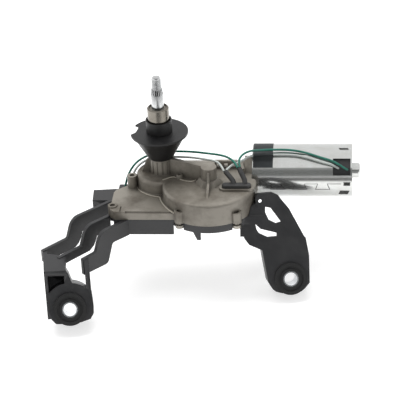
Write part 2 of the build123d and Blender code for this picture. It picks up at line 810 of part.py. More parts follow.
# Rubber grommet in the drum, with the two sleeves that the leads leave by
sleeve_routes = [
    ((63.4, -30.8, -37.0), (63.0, -27.6, -32.6), (56.0, -20.0, -27.8)),
    ((71.6, -31.0, -37.0), (72.8, -27.8, -32.3), (67.4, -18.9, -25.3)),
]
with BuildPart() as wire_grommet:
    with BuildSketch(Plane.XY.offset(drum_top_z - grommet_depth)):
        with Locations((grommet_x, grommet_y)):
            SlotOverall(grommet_length - 0.1, grommet_width - 0.1)
    extrude(amount=grommet_depth + grommet_h)
    fillet(wire_grommet.edges().group_by(Axis.Z)[-1], radius=0.7)
    for sleeve_foot, sleeve_bend, sleeve_tip in sleeve_routes:
        hole_axis = Vector(*sleeve_bend) - Vector(*sleeve_foot)
        with BuildSketch(Plane(origin=sleeve_foot, z_dir=hole_axis)):
            Circle(lead_sleeve_r)
        extrude(amount=hole_axis.length, mode=Mode.SUBTRACT)
label_and_export(wire_grommet.part, "wire_grommet")


def route_radii(points):
    """Arc radius at each inner point of a route, 0.45 of the shorter run beside it."""
    radii = []
    for before, here, after in zip(points, points[1:], points[2:]):
        into = Vector(*here) - Vector(*before)
        out = Vector(*after) - Vector(*here)
        turn = radians(into.get_angle(out))
        radii.append(0.45 * min(into.length, out.length) / tan(turn / 2))
    return radii


def make_lead(points, radius, name):
    """A round lead along straight runs joined by tangent arcs."""
    radii = route_radii(points)
    with BuildPart() as lead:
        with BuildLine() as route:
            FilletPolyline(*points, radius=radii)
        path = route.wires()[0]
        with BuildSketch(Plane(origin=path @ 0, z_dir=path % 0)):
            Circle(radius)
        sweep(path=path)
    label_and_export(lead.part, name)
    share = lead.part.volume / (pi * radius ** 2 * path.length)
    print(f"{name}: {path.length:.1f} mm, radii {[round(r, 1) for r in radii]}, volume share {share:.4f}")
    return path


for number, sleeve_points in enumerate(sleeve_routes):
    make_lead(sleeve_points, lead_sleeve_r, f"lead_sleeve_{number + 1}")

# Motor casing: rolled steel tube with two flats, screw ears and the brush window
flat_turn = 180 - yoke_flat_tilt


def yoke_section(radius, flat_r):
    """Circle with two flats, in the open sketch."""
    Circle(radius)
    Rectangle(2 * flat_r, 2 * radius + 2, rotation=flat_turn, mode=Mode.INTERSECT)


with BuildPart() as motor_yoke:
    with BuildSketch(motor_plane(yoke_start_x)):
        yoke_section(yoke_r, yoke_flat_r)
    extrude(amount=yoke_end_x - yoke_start_x)
    with BuildSketch(motor_plane(yoke_start_x)):
        ear_shape()
    extrude(amount=ear_t)
    with BuildSketch(motor_plane(yoke_start_x + yoke_front_t)):
        yoke_section(yoke_r - yoke_wall, yoke_flat_r - yoke_wall)
    extrude(amount=yoke_end_x - yoke_start_x, mode=Mode.SUBTRACT)
    with BuildSketch(motor_plane(yoke_start_x)):
        Circle(front_bush_r)
    extrude(amount=yoke_front_t, mode=Mode.SUBTRACT)
    with BuildSketch(motor_plane(yoke_start_x)):
        with Locations(*ear_spots(ear_r)):
            Circle(motor_screw_r + boss_clearance)
    extrude(amount=ear_t, mode=Mode.SUBTRACT)
    window_turn = 180 - window_tilt
    with BuildSketch(motor_plane(yoke_end_x - window_length)):
        with PolarLocations(yoke_r, 1, start_angle=window_turn):
            Rectangle(yoke_r * 0.4, window_width)
    extrude(amount=window_length, mode=Mode.SUBTRACT)
label_and_export(motor_yoke.part, "motor_yoke")

# Two arc magnets clear of the flats
magnet_plane = motor_plane(magnet_start_x)
magnet_outer_r = yoke_r - yoke_wall - 0.05
with BuildPart() as magnets:
    with BuildSketch(magnet_plane):
        for side in (90, 270):
            middle = flat_turn + side
            with BuildLine():
                outer_arc = CenterArc((0, 0), magnet_outer_r, middle - magnet_span / 2, magnet_span)
                inner_arc = CenterArc((0, 0), magnet_outer_r - magnet_t, middle - magnet_span / 2, magnet_span)
                Line(outer_arc @ 0, inner_arc @ 0)
                Line(outer_arc @ 1, inner_arc @ 1)
            make_face()
    extrude(amount=magnet_length)
label_and_export(magnets.part, "magnets")

# Armature: shaft with the worm, slotted core, windings, commutator
with BuildPart() as armature_shaft:
    with BuildSketch(motor_plane(shaft_start_x)):
        Circle(shaft_r)
    extrude(amount=shaft_step_x - shaft_start_x)
    with BuildSketch(motor_plane(worm_start_x)):
        Circle(worm_root_r)
    extrude(amount=worm_end_x - worm_start_x)
    with BuildSketch(motor_plane(shaft_step_x)):
        Circle(shaft_end_r)
    extrude(amount=shaft_tip_x - shaft_step_x)
label_and_export(armature_shaft.part, "armature_shaft")

with BuildPart() as armature_core:
    with BuildSketch(motor_plane(core_start_x)):
        Circle(core_r)
        with PolarLocations(core_r, core_slots):
            Rectangle(slot_mouth_depth, slot_mouth, mode=Mode.SUBTRACT)
        with PolarLocations(core_r - slot_depth / 2 - 1, core_slots):
            Rectangle(slot_depth - 1, slot_width, mode=Mode.SUBTRACT)
        Circle(shaft_r, mode=Mode.SUBTRACT)
    extrude(amount=core_length)
label_and_export(armature_core.part, "armature_core")

with BuildPart() as armature_windings:
    for ring_x in (core_start_x - winding_length, core_start_x + core_length):
        with BuildSketch(motor_plane(ring_x)):
            Circle(winding_r)
            Circle(winding_bore_r, mode=Mode.SUBTRACT)
        extrude(amount=winding_length)
label_and_export(armature_windings.part, "armature_windings")

with BuildPart() as commutator:
    with BuildSketch(motor_plane(commutator_start_x)):
        Circle(commutator_r)
        with PolarLocations(commutator_r, core_slots, start_angle=15):
            Rectangle(1.6, 0.5, mode=Mode.SUBTRACT)
        Circle(shaft_r, mode=Mode.SUBTRACT)
    extrude(amount=commutator_length)
label_and_export(commutator.part, "commutator")

# Bearings of the armature
make_ring(shaft_r + running_clearance, front_bush_r, -front_bush_length, front_bush_length, "front_bush",
          motor_plane(yoke_start_x))
make_ring(shaft_r + running_clearance, tunnel_cavity_r, 0, worm_bush_length, "worm_end_bush",
          motor_plane(tunnel_start_x + wall))
with BuildPart() as thrust_pad:
    with BuildSketch(motor_plane(tunnel_start_x + wall)):
        Circle(shaft_r - 0.2)
    extrude(amount=shaft_start_x - tunnel_start_x - wall - slide_clearance)
label_and_export(thrust_pad.part, "thrust_pad")

# Brush holder with two brushes on the commutator
brush_turn = flat_turn
holder_r = yoke_r - yoke_wall - 0.05
with BuildPart() as brush_holder:
    with BuildSketch(motor_plane(holder_start_x)):
        yoke_section(holder_r, yoke_flat_r - yoke_wall - 0.05)
        Circle(commutator_r + 1.0, mode=Mode.SUBTRACT)
        with PolarLocations(0, 2, start_angle=brush_turn):
            with Locations((commutator_r + brush_length, 0)):
                Rectangle(2 * brush_length, brush_width, mode=Mode.SUBTRACT)
    extrude(amount=holder_plate_t)
    with BuildSketch(motor_plane(holder_start_x)):
        yoke_section(holder_r, yoke_flat_r - yoke_wall - 0.05)
        Circle(holder_r - 3.2, mode=Mode.SUBTRACT)
    extrude(amount=yoke_end_x - holder_start_x)
label_and_export(brush_holder.part, "brush_holder")

with BuildPart() as brushes:
    with BuildSketch(motor_plane(holder_start_x)):
        with PolarLocations(0, 2, start_angle=brush_turn):
            with Locations((commutator_r + running_clearance + brush_length / 2, 0)):
                Rectangle(brush_length, brush_width - 0.1)
        Circle(commutator_r + running_clearance, mode=Mode.SUBTRACT)
    extrude(amount=holder_plate_t)
label_and_export(brushes.part, "carbon_brushes")

# End plate with the domed seat of the rear bearing
with BuildPart() as end_plate:
    with BuildSketch(motor_plane(yoke_end_x)):
        yoke_section(yoke_r, yoke_flat_r)
    extrude(amount=end_plate_t)
    with BuildSketch(motor_plane(yoke_end_x + end_plate_t)):
        Circle(dome_r)
    extrude(amount=dome_length)
    fillet(end_plate.faces().sort_by(Axis.X)[-1].edges(), radius=2.0)
    with BuildSketch(motor_plane(yoke_end_x)):
        Circle(dome_r - dome_wall)
    extrude(amount=end_plate_t + dome_length - dome_wall, mode=Mode.SUBTRACT)
label_and_export(end_plate.part, "end_plate")
make_ring(shaft_end_r + running_clearance, dome_r - dome_wall, 0, rear_bush_length, "rear_bush",
          motor_plane(yoke_end_x))

# Two screws that hold the yoke's ears on the casting
with BuildPart() as motor_screws:
    with BuildSketch(motor_plane(flange_start_x)):
        with Locations(*ear_spots(ear_r)):
            Circle(motor_screw_r)
    extrude(amount=motor_flange_t + ear_t)
    with BuildSketch(motor_plane(yoke_start_x + ear_t)):
        with Locations(*ear_spots(ear_r)):
            Circle(screw_head_r)
    extrude(amount=screw_head_h)
    fillet(motor_screws.faces().sort_by(Axis.X)[-1].edges(), radius=0.6)
label_and_export(motor_screws.part, "motor_screws")

# Where the tape holds the grey lead on the yoke
tape_lead_y = motor_y - 12.3
tape_lead_z = motor_z + 21.9


# Black plastic bracket: tray under the casting, three-rib arm, plate arm, two feet
arm_normal = Vector(1, -1, 0).normalized()
arm_along = Vector(-1, -1, 0).normalized()
left_face = foot_plane(*left_foot)
right_face = foot_plane(*right_foot)
tray_bottom_z = base_z - plate_t


def arm_rib(offset_from_spindle, start, end, step_s, near_depth, far_depth):
    """One upright rib of the left arm, stepped down between its two level runs."""
    low = base_z - rib_drop
    with BuildSketch(Plane(origin=arm_normal * offset_from_spindle, x_dir=arm_along, z_dir=-arm_normal)) as profile:
        with BuildLine():
            top = FilletPolyline(
                (start, base_z), (step_s, base_z), (step_s + rib_step_length, low - 0.8), (end, low - 1.8),
                radius=(11.0, 2.0),
            )
            under = FilletPolyline(
                (start, base_z - near_depth), (step_s - 11.6, base_z - near_depth),
                (step_s - 5.4, low - far_depth), (end, low - far_depth - 0.4),
                radius=(2.5, 4.5),
            )
            Line(top @ 0, under @ 0)
            Line(top @ 1, under @ 1)
        make_face()
    extrude(profile.sketch, amount=rib_t / 2, both=True)


turn_axes = Plane(
    origin=(0, 0, 0),
    x_dir=(sin(radians(foot_turn)), -cos(radians(foot_turn)), 0),
    z_dir=(-cos(radians(foot_turn)), -sin(radians(foot_turn)), 0),
)
left_bore_across = left_foot[1]

with BuildPart() as mounting_bracket:
    # Tray with its two windows, and its wings to the rear tab and the right arm
    with BuildSketch(Plane.XY.offset(tray_bottom_z)):
        with BuildLine():
            Polyline(*deck_points, close=True)
        make_face()
        circle_at(wheel_x, wheel_y, drum_r - 1.0)
        circle_at(0, 0, boss_r)
        Polygon((50, -46), (60, -45.4), (88, -40.4), (86, -30), (76, -10), (60, 0), align=None)
        Polygon((-60, 1.5), (-58.8, -16), (-36, -16), (-20, -2), (-24, 3.5), (-40, 3.5), align=None)
        circle_at(wheel_x, wheel_y, tray_window_r)
        with Locations((wheel_x, wheel_y)):
            Circle(tray_window_r, mode=Mode.SUBTRACT)
        with Locations((-14, -26)):
            RectangleRounded(34, 26, 4, mode=Mode.SUBTRACT)
    extrude(amount=plate_t)

    # Front rail, lip round the drum, hook, rear tab skirt, connector blade
    box_between(deck_left + 3, 13.0, deck_front, deck_front + 2.6, base_z - rail_h, base_z)
    with BuildSketch(Plane.XY.offset(base_z - lip_h)):
        circle_at(wheel_x, wheel_y, drum_r - 0.6)
        with Locations((wheel_x, wheel_y)):
            Circle(drum_r - 3.2, mode=Mode.SUBTRACT)
        Polygon((8, -43), (8, -70), (76, -70), (76, -43), align=None, mode=Mode.INTERSECT)
    extrude(amount=lip_h)
    with BuildSketch(Plane.XZ.offset(hook_y)):
        Polygon((27.5, tray_bottom_z), (36, tray_bottom_z), (36, -73.5), (33, -73.5), align=None)
    extrude(amount=hook_t)
    with BuildSketch(Plane.XY.offset(base_z - tab_h)):
        Polygon((-60.2, 1.7), (-59.0, -16.2), (-42, -16.2), (-42, -13.6), (-56.6, -13.6), (-57.4, -1), (-42, -1),
                (-42, 1.7), align=None)
    extrude(amount=tab_h)
    box_between(-39.0, -24.0, 1.5, 3.5, base_z - 15.0, base_z)

    # Left arm and the side walls and shelf of its foot
    arm_rib(-19.0, 22.0, 116.5, 84.0, rail_h, 12.4)
    arm_rib(-0.7, 30.0, 113.5, 83.5, rail_h, 11.2)
    arm_rib(15.5, 52.0, 101.0, 81.0, rail_h + 0.4, 16.0)
    with BuildSketch(turn_axes.offset(-left_bore_across + 15.5)):
        Polygon(
            (50.0, -76), (83.6, -76), (99.6, -112.2), (80, -111), (72, -96), (50.0, -90), align=None,
        )
    extrude(amount=rib_t)
    with BuildSketch(turn_axes.offset(-left_bore_across - 18.6)):
        Polygon((66, -75.9), (70.5, -75.9), (90.5, -92), (98.0, -109), (80, -109), (72, -94), (66, -90), align=None)
    extrude(amount=rib_t + 0.8)
    with BuildSketch(Plane.XY.offset(-76.0 - foot_wall)):
        Polygon((-94.5, -72), (-89.3, -100.9), (-71.7, -98.9), (-74.5, -76.5), align=None)
    extrude(amount=foot_wall)

    # Left foot: boss between its walls, and the pocketed column under the shelf
    with BuildSketch(left_face):
        Circle(21.7)
        Polygon(
            (-18.5, 30), (-18.3, 10.5), (-17, -2.2), (-15.7, -7.4), (-12.3, -11.4), (-8, -11.8),
            (8, -11.8), (16.2, -9.6), (19.1, -5.1), (19.5, -0.6), (18.4, 24), (18, 30),
            align=None, mode=Mode.INTERSECT,
        )
    extrude(amount=-foot_depth)
    with BuildSketch(left_face):
        Polygon((-18.5, 32.6), (-0.8, 32.4), (1.2, 28.8), (3.5, 21.5), (3.5, 14), (-18.4, 14), align=None)
    extrude(amount=-foot_depth)
    with BuildSketch(left_face):
        Polygon((-16, 28.7), (-2.6, 27.8), (-2.6, 12), (-16, 12), align=None)
        Circle(21.5, mode=Mode.SUBTRACT)
    extrude(amount=-foot_depth + foot_wall, mode=Mode.SUBTRACT)
    with BuildSketch(left_face.offset(-foot_depth)):
        Circle(21.7 - foot_wall)
        Polygon((-15.4, 17), (-14, -8), (15.5, -6.5), (15.4, 17), align=None, mode=Mode.INTERSECT)
        Circle(bush_waist_r + foot_boss_wall, mode=Mode.SUBTRACT)
    extrude(amount=foot_depth - foot_wall, mode=Mode.SUBTRACT)

    # Right arm: plate with two cut-outs and a bordering wall, then the deeper foot
    plate_outline = [
        (-22, 25.9), (-32.5, 31.4), (-35.5, 36), (-38.6, 45), (-38.7, 52), (-33.7, 60.9), (-24.3, 66),
        (-24.6, 70.2), (-22.7, 73.4), (-10.1, 73.4), (-5.1, 70.8), (-3.4, 68), (3, 59.1), (15.2, 32.2), (15.6, 26),
    ]
    with BuildSketch(right_face):
        Polygon(*plate_outline, align=None)
    extrude(amount=-arm_depth)
    with BuildSketch(right_face.offset(-arm_depth)):
        Polygon(*plate_outline, align=None)
        offset(amount=-foot_wall + 0.3, mode=Mode.REPLACE)
    extrude(amount=arm_depth - arm_skin, mode=Mode.SUBTRACT)
    with BuildSketch(right_face):
        Polygon((-16.7, 62.1), (-12.3, 60.8), (-4.6, 48.5), (-8.8, 47.6), (-14.6, 51), (-17.1, 57.7), align=None)
        Polygon(
            (-26.1, 48.2), (-21.9, 43.9), (-8.8, 39.5), (-9, 36.7), (-16.8, 36.7), (-23.5, 40.5), (-25.2, 43.6),
            align=None,
        )
        circle_at(-20.6, 67.2, 1.5)
    extrude(amount=-arm_depth, mode=Mode.SUBTRACT)
    with BuildSketch(right_face):
        Polygon(
            (-22, 33.5), (-22, 25.9), (-19, -1), (-15.6, -7.7), (-13.1, -10), (-8, -11.8), (8, -11.8),
            (11.4, -9.4), (15.8, -4.8), (17, 18.5), (15.2, 33.5), align=None,
        )
    extrude(amount=-foot_depth)
    with BuildSketch(right_face.offset(-foot_depth)):
        Polygon(
            (-19, 30.7), (-19, 25.5), (-16.2, 0), (-13, -6.5), (-8, -9), (8, -9), (12.8, -4), (14.1, 18), (12.6, 30.7),
            align=None,
        )
        Circle(bush_waist_r + foot_boss_wall, mode=Mode.SUBTRACT)
    extrude(amount=foot_depth - foot_wall, mode=Mode.SUBTRACT)
    with BuildSketch(Plane.YZ.offset(70.0)):
        Polygon((-42, tray_bottom_z + 1), (-22, tray_bottom_z + 1), (-46, -74), (-48.5, -74), align=None)
    extrude(amount=rib_t / 2, both=True)

    # Bores for the rubber bushes, and the boss behind each cut to length
    for face in (left_face, right_face):
        with BuildSketch(face):
            Circle(bush_waist_r)
        extrude(amount=-foot_depth, mode=Mode.SUBTRACT)
        with BuildSketch(face.offset(-foot_boss_depth)):
            Circle(bush_waist_r + foot_boss_wall)
        extrude(amount=-(foot_depth - foot_boss_depth), mode=Mode.SUBTRACT)

    # Room for the casting above its base, and the screw holes
    with BuildSketch(Plane.XY.offset(base_z)):
        circle_at(wheel_x, wheel_y, drum_r + seat_gap)
        for boss_x, boss_y, boss_rad, boss_top in screw_bosses:
            circle_at(boss_x, boss_y, boss_rad + seat_gap)
    extrude(amount=drum_top_z - base_z, mode=Mode.SUBTRACT)
    for boss_x, boss_y, boss_rad, boss_top in screw_bosses:
        with BuildSketch(Plane.XY.offset(tray_bottom_z)):
            circle_at(boss_x, boss_y, boss_hole_r)
        extrude(amount=plate_t, mode=Mode.SUBTRACT)
        with BuildSketch(Plane.XY.offset(tray_bottom_z)):
            circle_at(boss_x, boss_y, screw_head_r + seat_gap)
        extrude(amount=plate_t - rail_h - 1, mode=Mode.SUBTRACT)
    box_between(corner_x, right_foot[1], corner_y, motor_y, base_z - rail_h, drum_top_z, mode=Mode.SUBTRACT)
label_and_export(mounting_bracket.part, "mounting_bracket")

# Screws from below, through the tray into the casting's bosses
with BuildPart() as bracket_screws:
    for boss_x, boss_y, boss_rad, boss_top in screw_bosses:
        with BuildSketch(Plane.XY.offset(tray_bottom_z)):
            circle_at(boss_x, boss_y, boss_screw_r)
        extrude(amount=boss_top - tray_bottom_z - 1.5)
        with BuildSketch(Plane.XY.offset(tray_bottom_z - screw_head_h)):
            circle_at(boss_x, boss_y, screw_head_r)
        extrude(amount=screw_head_h)
label_and_export(bracket_screws.part, "bracket_screws")

# Rubber bush and steel sleeve of each foot
for side, face in (("left", left_face), ("right", right_face)):
    with BuildPart() as foot_bush:
        with BuildSketch(face.offset(bush_front_t)):
            Circle(bush_front_r)
        extrude(amount=-bush_front_t)
        with BuildSketch(face):
            Circle(bush_waist_r)
        extrude(amount=-foot_boss_depth)
        with BuildSketch(face.offset(-foot_boss_depth)):
            Circle(bush_back_r)
        extrude(amount=-bush_back_t)
        with BuildSketch(face.offset(bush_front_t)):
            Circle(sleeve_r)
        extrude(amount=-bush_front_t - foot_boss_depth - bush_back_t, mode=Mode.SUBTRACT)
        with BuildSketch(face.offset(bush_front_t)):
            Circle(bush_groove_out_r)
            Circle(bush_groove_in_r, mode=Mode.SUBTRACT)
        extrude(amount=-bush_groove_depth, mode=Mode.SUBTRACT)
    label_and_export(foot_bush.part, f"{side}_bush")
    make_ring(
        sleeve_bore_r, sleeve_r, -foot_boss_depth - bush_back_t - sleeve_proud,
        bush_front_t + foot_boss_depth + bush_back_t + 2 * sleeve_proud, f"{side}_sleeve", face,
    )

# Connector of the supply leads, on the bracket's blade behind the deck
with BuildPart() as supply_connector:
    box_between(*connector_x, *connector_y, *connector_z)
    fillet(supply_connector.edges().filter_by(Axis.Z), radius=1.2)
    box_between(
        connector_x[0] + 1.4, connector_x[1] - 1.4, connector_y[0] + 1.4, connector_y[1] - 1.4,
        connector_z[0] - 1, connector_z[0] + 10, mode=Mode.SUBTRACT,
    )
label_and_export(supply_connector.part, "supply_connector")
with BuildPart() as connector_blades:
    for blade_x in (lead_end_green[0], lead_end_grey[0]):
        box_between(blade_x - 1.0, blade_x + 1.0, lead_end_green[1] - 0.4, lead_end_green[1] + 0.4,
                    connector_z[0] + 2, connector_z[0] + 10)
label_and_export(connector_blades.part, "connector_blades")

# Leads: the supply pair round the neck, and the motor pair over the yoke
green_side = Vector(0.948, 0.225, 0.225) * (lead_r + 0.03)
grey_side = Vector(0.896, 0.341, 0.284) * (lead_r + 0.03)
sleeve_tip_grey = Vector(*sleeve_routes[0][-1]) + Vector(-0.444, 0.688, 0.571) * lead_end_gap
sleeve_tip_green = Vector(*sleeve_routes[1][-1]) + Vector(-0.318, 0.671, 0.671) * lead_end_gap
green_supply_route = [
    tuple(sleeve_tip_green - green_side), (63.9, -13.2, -22.7), (57.8, -5, -22.4), (50.0, 1.3, -23.4),
    (38.6, 7, -25), (25.6, 11.6, -25.9), (11.2, 14.3, -26.9), (-2.4, 14.8, -28.0), (-13.4, 13.2, -30.4),
    (-20.5, 10.8, -33.6), (-24.9, 9.0, -37.4), (-28.6, 7.9, -42.9), (-31.6, 7.4, -49.4), lead_end_green,
]
grey_supply_route = [
    tuple(sleeve_tip_grey - grey_side), (51.9, -13.9, -24.9), (47.0, -7.6, -24.2), (38.2, -1.8, -26.0),
    (26.3, 4.6, -27.6), (11.6, 9.4, -29.6), (-2.2, 12.0, -30.6), (-12.2, 10.9, -32.6), (-18.6, 8.9, -35.4),
    (-23.2, 7.6, -40.0), (-26.2, 7.1, -46.4), lead_end_grey,
]
green_motor_route = [
    tuple(sleeve_tip_green + green_side), (66.4, -13.4, -21.2), (69.4, -6.6, -18.8), (75.6, 1.0, -19.4),
    (83.6, 6.9, -22.0), (94.0, 9.6, -23.1), (105.6, 9.9, -23.2), (115.4, 8.6, -23.7), (125.0, 6.3, -25.1),
    (134.4, 3.5, -27.2), (143.6, 1.3, -28.9), (150.4, -1.5, -31.5), (155.0, -2.4, -34.5), (157.6, -2.2, -36.2),
]
grey_motor_route = [
    tuple(sleeve_tip_grey + grey_side), (59.6, -13.9, -25.7), (67.0, -7.4, -25.6),
    (76.2, 1.9, -24.2), (85.5, tape_lead_y + 0.1, tape_lead_z), (95.5, tape_lead_y, tape_lead_z + 0.1),
    (106.0, 4.9, -25.3), (116.0, 4.3, -25.7), (126.0, 2.2, -27.5), (135.0, 0.0, -29.6),
    (142.6, -1.1, -31.0), (147.2, -2.0, -33.2), (150.0, -1.5, -35.2),
]
make_lead(green_supply_route, lead_r, "green_supply_lead")
make_lead(grey_supply_route, lead_r, "grey_supply_lead")
make_lead(green_motor_route, lead_r, "green_motor_lead")
make_lead(grey_motor_route, lead_r, "grey_motor_lead")
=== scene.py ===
"""Looks of the rear wiper motor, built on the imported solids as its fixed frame.

Laid out as an add-on: sizes and colours are properties, each piece or group of
pieces has an operator, and the panel lists them. Metres, in the solids' frame.
"""
import json
import math

import bmesh
import bpy
from bpy.props import FloatProperty, FloatVectorProperty, IntProperty, PointerProperty
from mathutils import Matrix, Vector


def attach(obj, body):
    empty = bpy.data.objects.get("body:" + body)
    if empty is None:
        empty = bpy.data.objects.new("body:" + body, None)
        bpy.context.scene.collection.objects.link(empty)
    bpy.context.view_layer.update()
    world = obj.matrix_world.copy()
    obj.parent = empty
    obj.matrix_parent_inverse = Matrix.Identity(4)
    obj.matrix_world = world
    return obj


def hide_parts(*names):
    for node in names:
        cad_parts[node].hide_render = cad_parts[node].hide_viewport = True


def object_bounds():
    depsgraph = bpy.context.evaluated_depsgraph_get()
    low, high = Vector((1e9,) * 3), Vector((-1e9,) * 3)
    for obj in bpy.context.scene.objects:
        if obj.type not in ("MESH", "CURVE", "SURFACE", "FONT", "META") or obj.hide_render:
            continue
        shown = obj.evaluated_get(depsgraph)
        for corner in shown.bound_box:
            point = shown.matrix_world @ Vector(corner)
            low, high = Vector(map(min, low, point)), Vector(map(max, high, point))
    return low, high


bl_info = {
    "name": "Rear wiper motor",
    "version": (1, 0, 0),
    "blender": (4, 5, 0),
    "location": "3D View > Sidebar > Wiper motor",
    "description": "Finishes, small details, leads and stage for the rear wiper motor",
    "category": "Object",
}

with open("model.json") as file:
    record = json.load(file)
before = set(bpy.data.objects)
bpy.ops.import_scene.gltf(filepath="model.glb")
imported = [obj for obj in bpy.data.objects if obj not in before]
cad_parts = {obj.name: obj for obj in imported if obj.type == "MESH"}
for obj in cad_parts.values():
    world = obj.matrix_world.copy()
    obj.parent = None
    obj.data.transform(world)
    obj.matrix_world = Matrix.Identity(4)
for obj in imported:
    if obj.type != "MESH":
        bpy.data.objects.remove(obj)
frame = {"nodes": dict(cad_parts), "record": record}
MM = 0.001
CAD_LOW, CAD_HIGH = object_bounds()


def at(x, y, z):
    """A point given in millimetres."""
    return Vector((x, y, z)) * MM


# Sizes and colours


class CastingFinish(bpy.types.PropertyGroup):
    colour: FloatVectorProperty(
        name="Zinc colour", description="Colour of the die-cast gearbox", subtype="COLOR",
        default=(0.235, 0.217, 0.186), min=0, max=1,
    )
    grain: FloatProperty(
        name="Cast grain", description="Height of the cast skin's grain", subtype="DISTANCE",
        default=0.00012, min=0,
    )


class MotorFinish(bpy.types.PropertyGroup):
    colour: FloatVectorProperty(
        name="Zinc plating", description="Colour of the plated motor casing", subtype="COLOR",
        default=(0.60, 0.61, 0.60), min=0, max=1,
    )
    tape_colour: FloatVectorProperty(
        name="Tape colour", description="Colour of the tape over the lead", subtype="COLOR",
        default=(0.013, 0.016, 0.017), min=0, max=1,
    )
    tape_width: FloatProperty(
        name="Tape width", description="Width of the tape along the motor", subtype="DISTANCE",
        default=0.0168,
    )
    seam_radius: FloatProperty(
        name="Seam radius", description="Radius of the casing's joint line", subtype="DISTANCE",
        default=0.00034,
    )


class SpindleFinish(bpy.types.PropertyGroup):
    colour: FloatVectorProperty(
        name="Steel colour", description="Colour of the ground spindle", subtype="COLOR",
        default=(0.56, 0.57, 0.57), min=0, max=1,
    )
    thread_pitch: FloatProperty(
        name="Thread pitch", description="Pitch of the stud's thread", subtype="DISTANCE", default=0.00125,
    )
    knurls: IntProperty(
        name="Knurls", description="Teeth of the cone that the arm sits on", default=18, min=12,
    )


class LeadFinish(bpy.types.PropertyGroup):
    diameter: FloatProperty(
        name="Lead diameter", description="Thickness of a lead with its insulation", subtype="DISTANCE",
        default=0.0019,
    )
    green: FloatVectorProperty(
        name="Green lead", description="Colour of the green insulation", subtype="COLOR",
        default=(0.012, 0.13, 0.095), min=0, max=1,
    )
    grey: FloatVectorProperty(
        name="Grey lead", description="Colour of the grey insulation", subtype="COLOR",
        default=(0.42, 0.45, 0.43), min=0, max=1,
    )


class StageLook(bpy.types.PropertyGroup):
    floor: FloatVectorProperty(
        name="Floor", description="Colour of the pale floor", subtype="COLOR",
        default=(0.86, 0.86, 0.86), min=0, max=1,
    )
    key_power: FloatProperty(
        name="Key lamp", description="Power of the large lamp above", subtype="POWER", default=15.0,
    )
    fill_power: FloatProperty(
        name="Fill lamp", description="Power of the lamp in front", subtype="POWER", default=2.6,
    )
    floor_lift: FloatProperty(
        name="Floor lift", description="Glow that keeps the floor white", default=0.62, min=0,
    )
    floor_gloss: FloatProperty(
        name="Floor in gloss", description="Glow of the floor in reflections", default=0.46, min=0,
    )
    sky: FloatProperty(
        name="Surround", description="Brightness of the white surround", default=0.55, min=0,
    )


# Shared shader groups


def new_group(name, inputs, outputs):
    """An empty shader group with these sockets, and its two end nodes."""
    group = bpy.data.node_groups.new(name, "ShaderNodeTree")
    for label, kind, value in inputs:
        socket = group.interface.new_socket(name=label, in_out="INPUT", socket_type=kind)
        if value is not None:
            socket.default_value = value
    for label, kind in outputs:
        group.interface.new_socket(name=label, in_out="OUTPUT", socket_type=kind)
    return group, group.nodes.new("NodeGroupInput"), group.nodes.new("NodeGroupOutput")


def build_grain_group():
    """Fine skin of a casting or a moulding, as a height, with a slow waviness below it."""
    group, given, made = new_group(
        "Skin grain",
        [
            ("Vector", "NodeSocketVector", None), ("Scale", "NodeSocketFloat", 900.0),
            ("Waviness", "NodeSocketFloat", 0.4),
        ],
        [("Height", "NodeSocketFloat"), ("Speckle", "NodeSocketFloat")],
    )
    fine = group.nodes.new("ShaderNodeTexNoise")
    fine.inputs["Detail"].default_value = 4.0
    fine.inputs["Roughness"].default_value = 0.65
    slow = group.nodes.new("ShaderNodeTexNoise")
    slow.inputs["Scale"].default_value = 90.0
    slow.inputs["Detail"].default_value = 2.0
    blend = group.nodes.new("ShaderNodeMath")
    blend.operation = "MULTIPLY_ADD"
    group.links.new(given.outputs["Vector"], fine.inputs["Vector"])
    group.links.new(given.outputs["Scale"], fine.inputs["Scale"])
    group.links.new(given.outputs["Vector"], slow.inputs["Vector"])
    group.links.new(slow.outputs["Fac"], blend.inputs[0])
    group.links.new(given.outputs["Waviness"], blend.inputs[1])
    group.links.new(fine.outputs["Fac"], blend.inputs[2])
    group.links.new(blend.outputs[0], made.inputs["Height"])
    group.links.new(fine.outputs["Fac"], made.inputs["Speckle"])
    return group


def build_stain_group():
    """Slow patches of a second colour, for handling marks, oxide and dulled plating."""
    group, given, made = new_group(
        "Stained colour",
        [
            ("Vector", "NodeSocketVector", None), ("Scale", "NodeSocketFloat", 60.0),
            ("Clean", "NodeSocketColor", (0.5, 0.5, 0.5, 1)),
            ("Stained", "NodeSocketColor", (0.4, 0.4, 0.4, 1)),
            ("Low", "NodeSocketFloat", 0.4), ("High", "NodeSocketFloat", 0.65),
        ],
        [("Colour", "NodeSocketColor"), ("Mask", "NodeSocketFloat")],
    )
    noise = group.nodes.new("ShaderNodeTexNoise")
    noise.inputs["Detail"].default_value = 5.0
    noise.inputs["Roughness"].default_value = 0.6
    spread = group.nodes.new("ShaderNodeMapRange")
    mix = group.nodes.new("ShaderNodeMix")
    mix.data_type = "RGBA"
    group.links.new(given.outputs["Vector"], noise.inputs["Vector"])
    group.links.new(given.outputs["Scale"], noise.inputs["Scale"])
    group.links.new(noise.outputs["Fac"], spread.inputs["Value"])
    group.links.new(given.outputs["Low"], spread.inputs["From Min"])
    group.links.new(given.outputs["High"], spread.inputs["From Max"])
    group.links.new(spread.outputs["Result"], mix.inputs["Factor"])
    group.links.new(given.outputs["Clean"], mix.inputs["A"])
    group.links.new(given.outputs["Stained"], mix.inputs["B"])
    group.links.new(mix.outputs["Result"], made.inputs["Colour"])
    group.links.new(spread.outputs["Result"], made.inputs["Mask"])
    return group


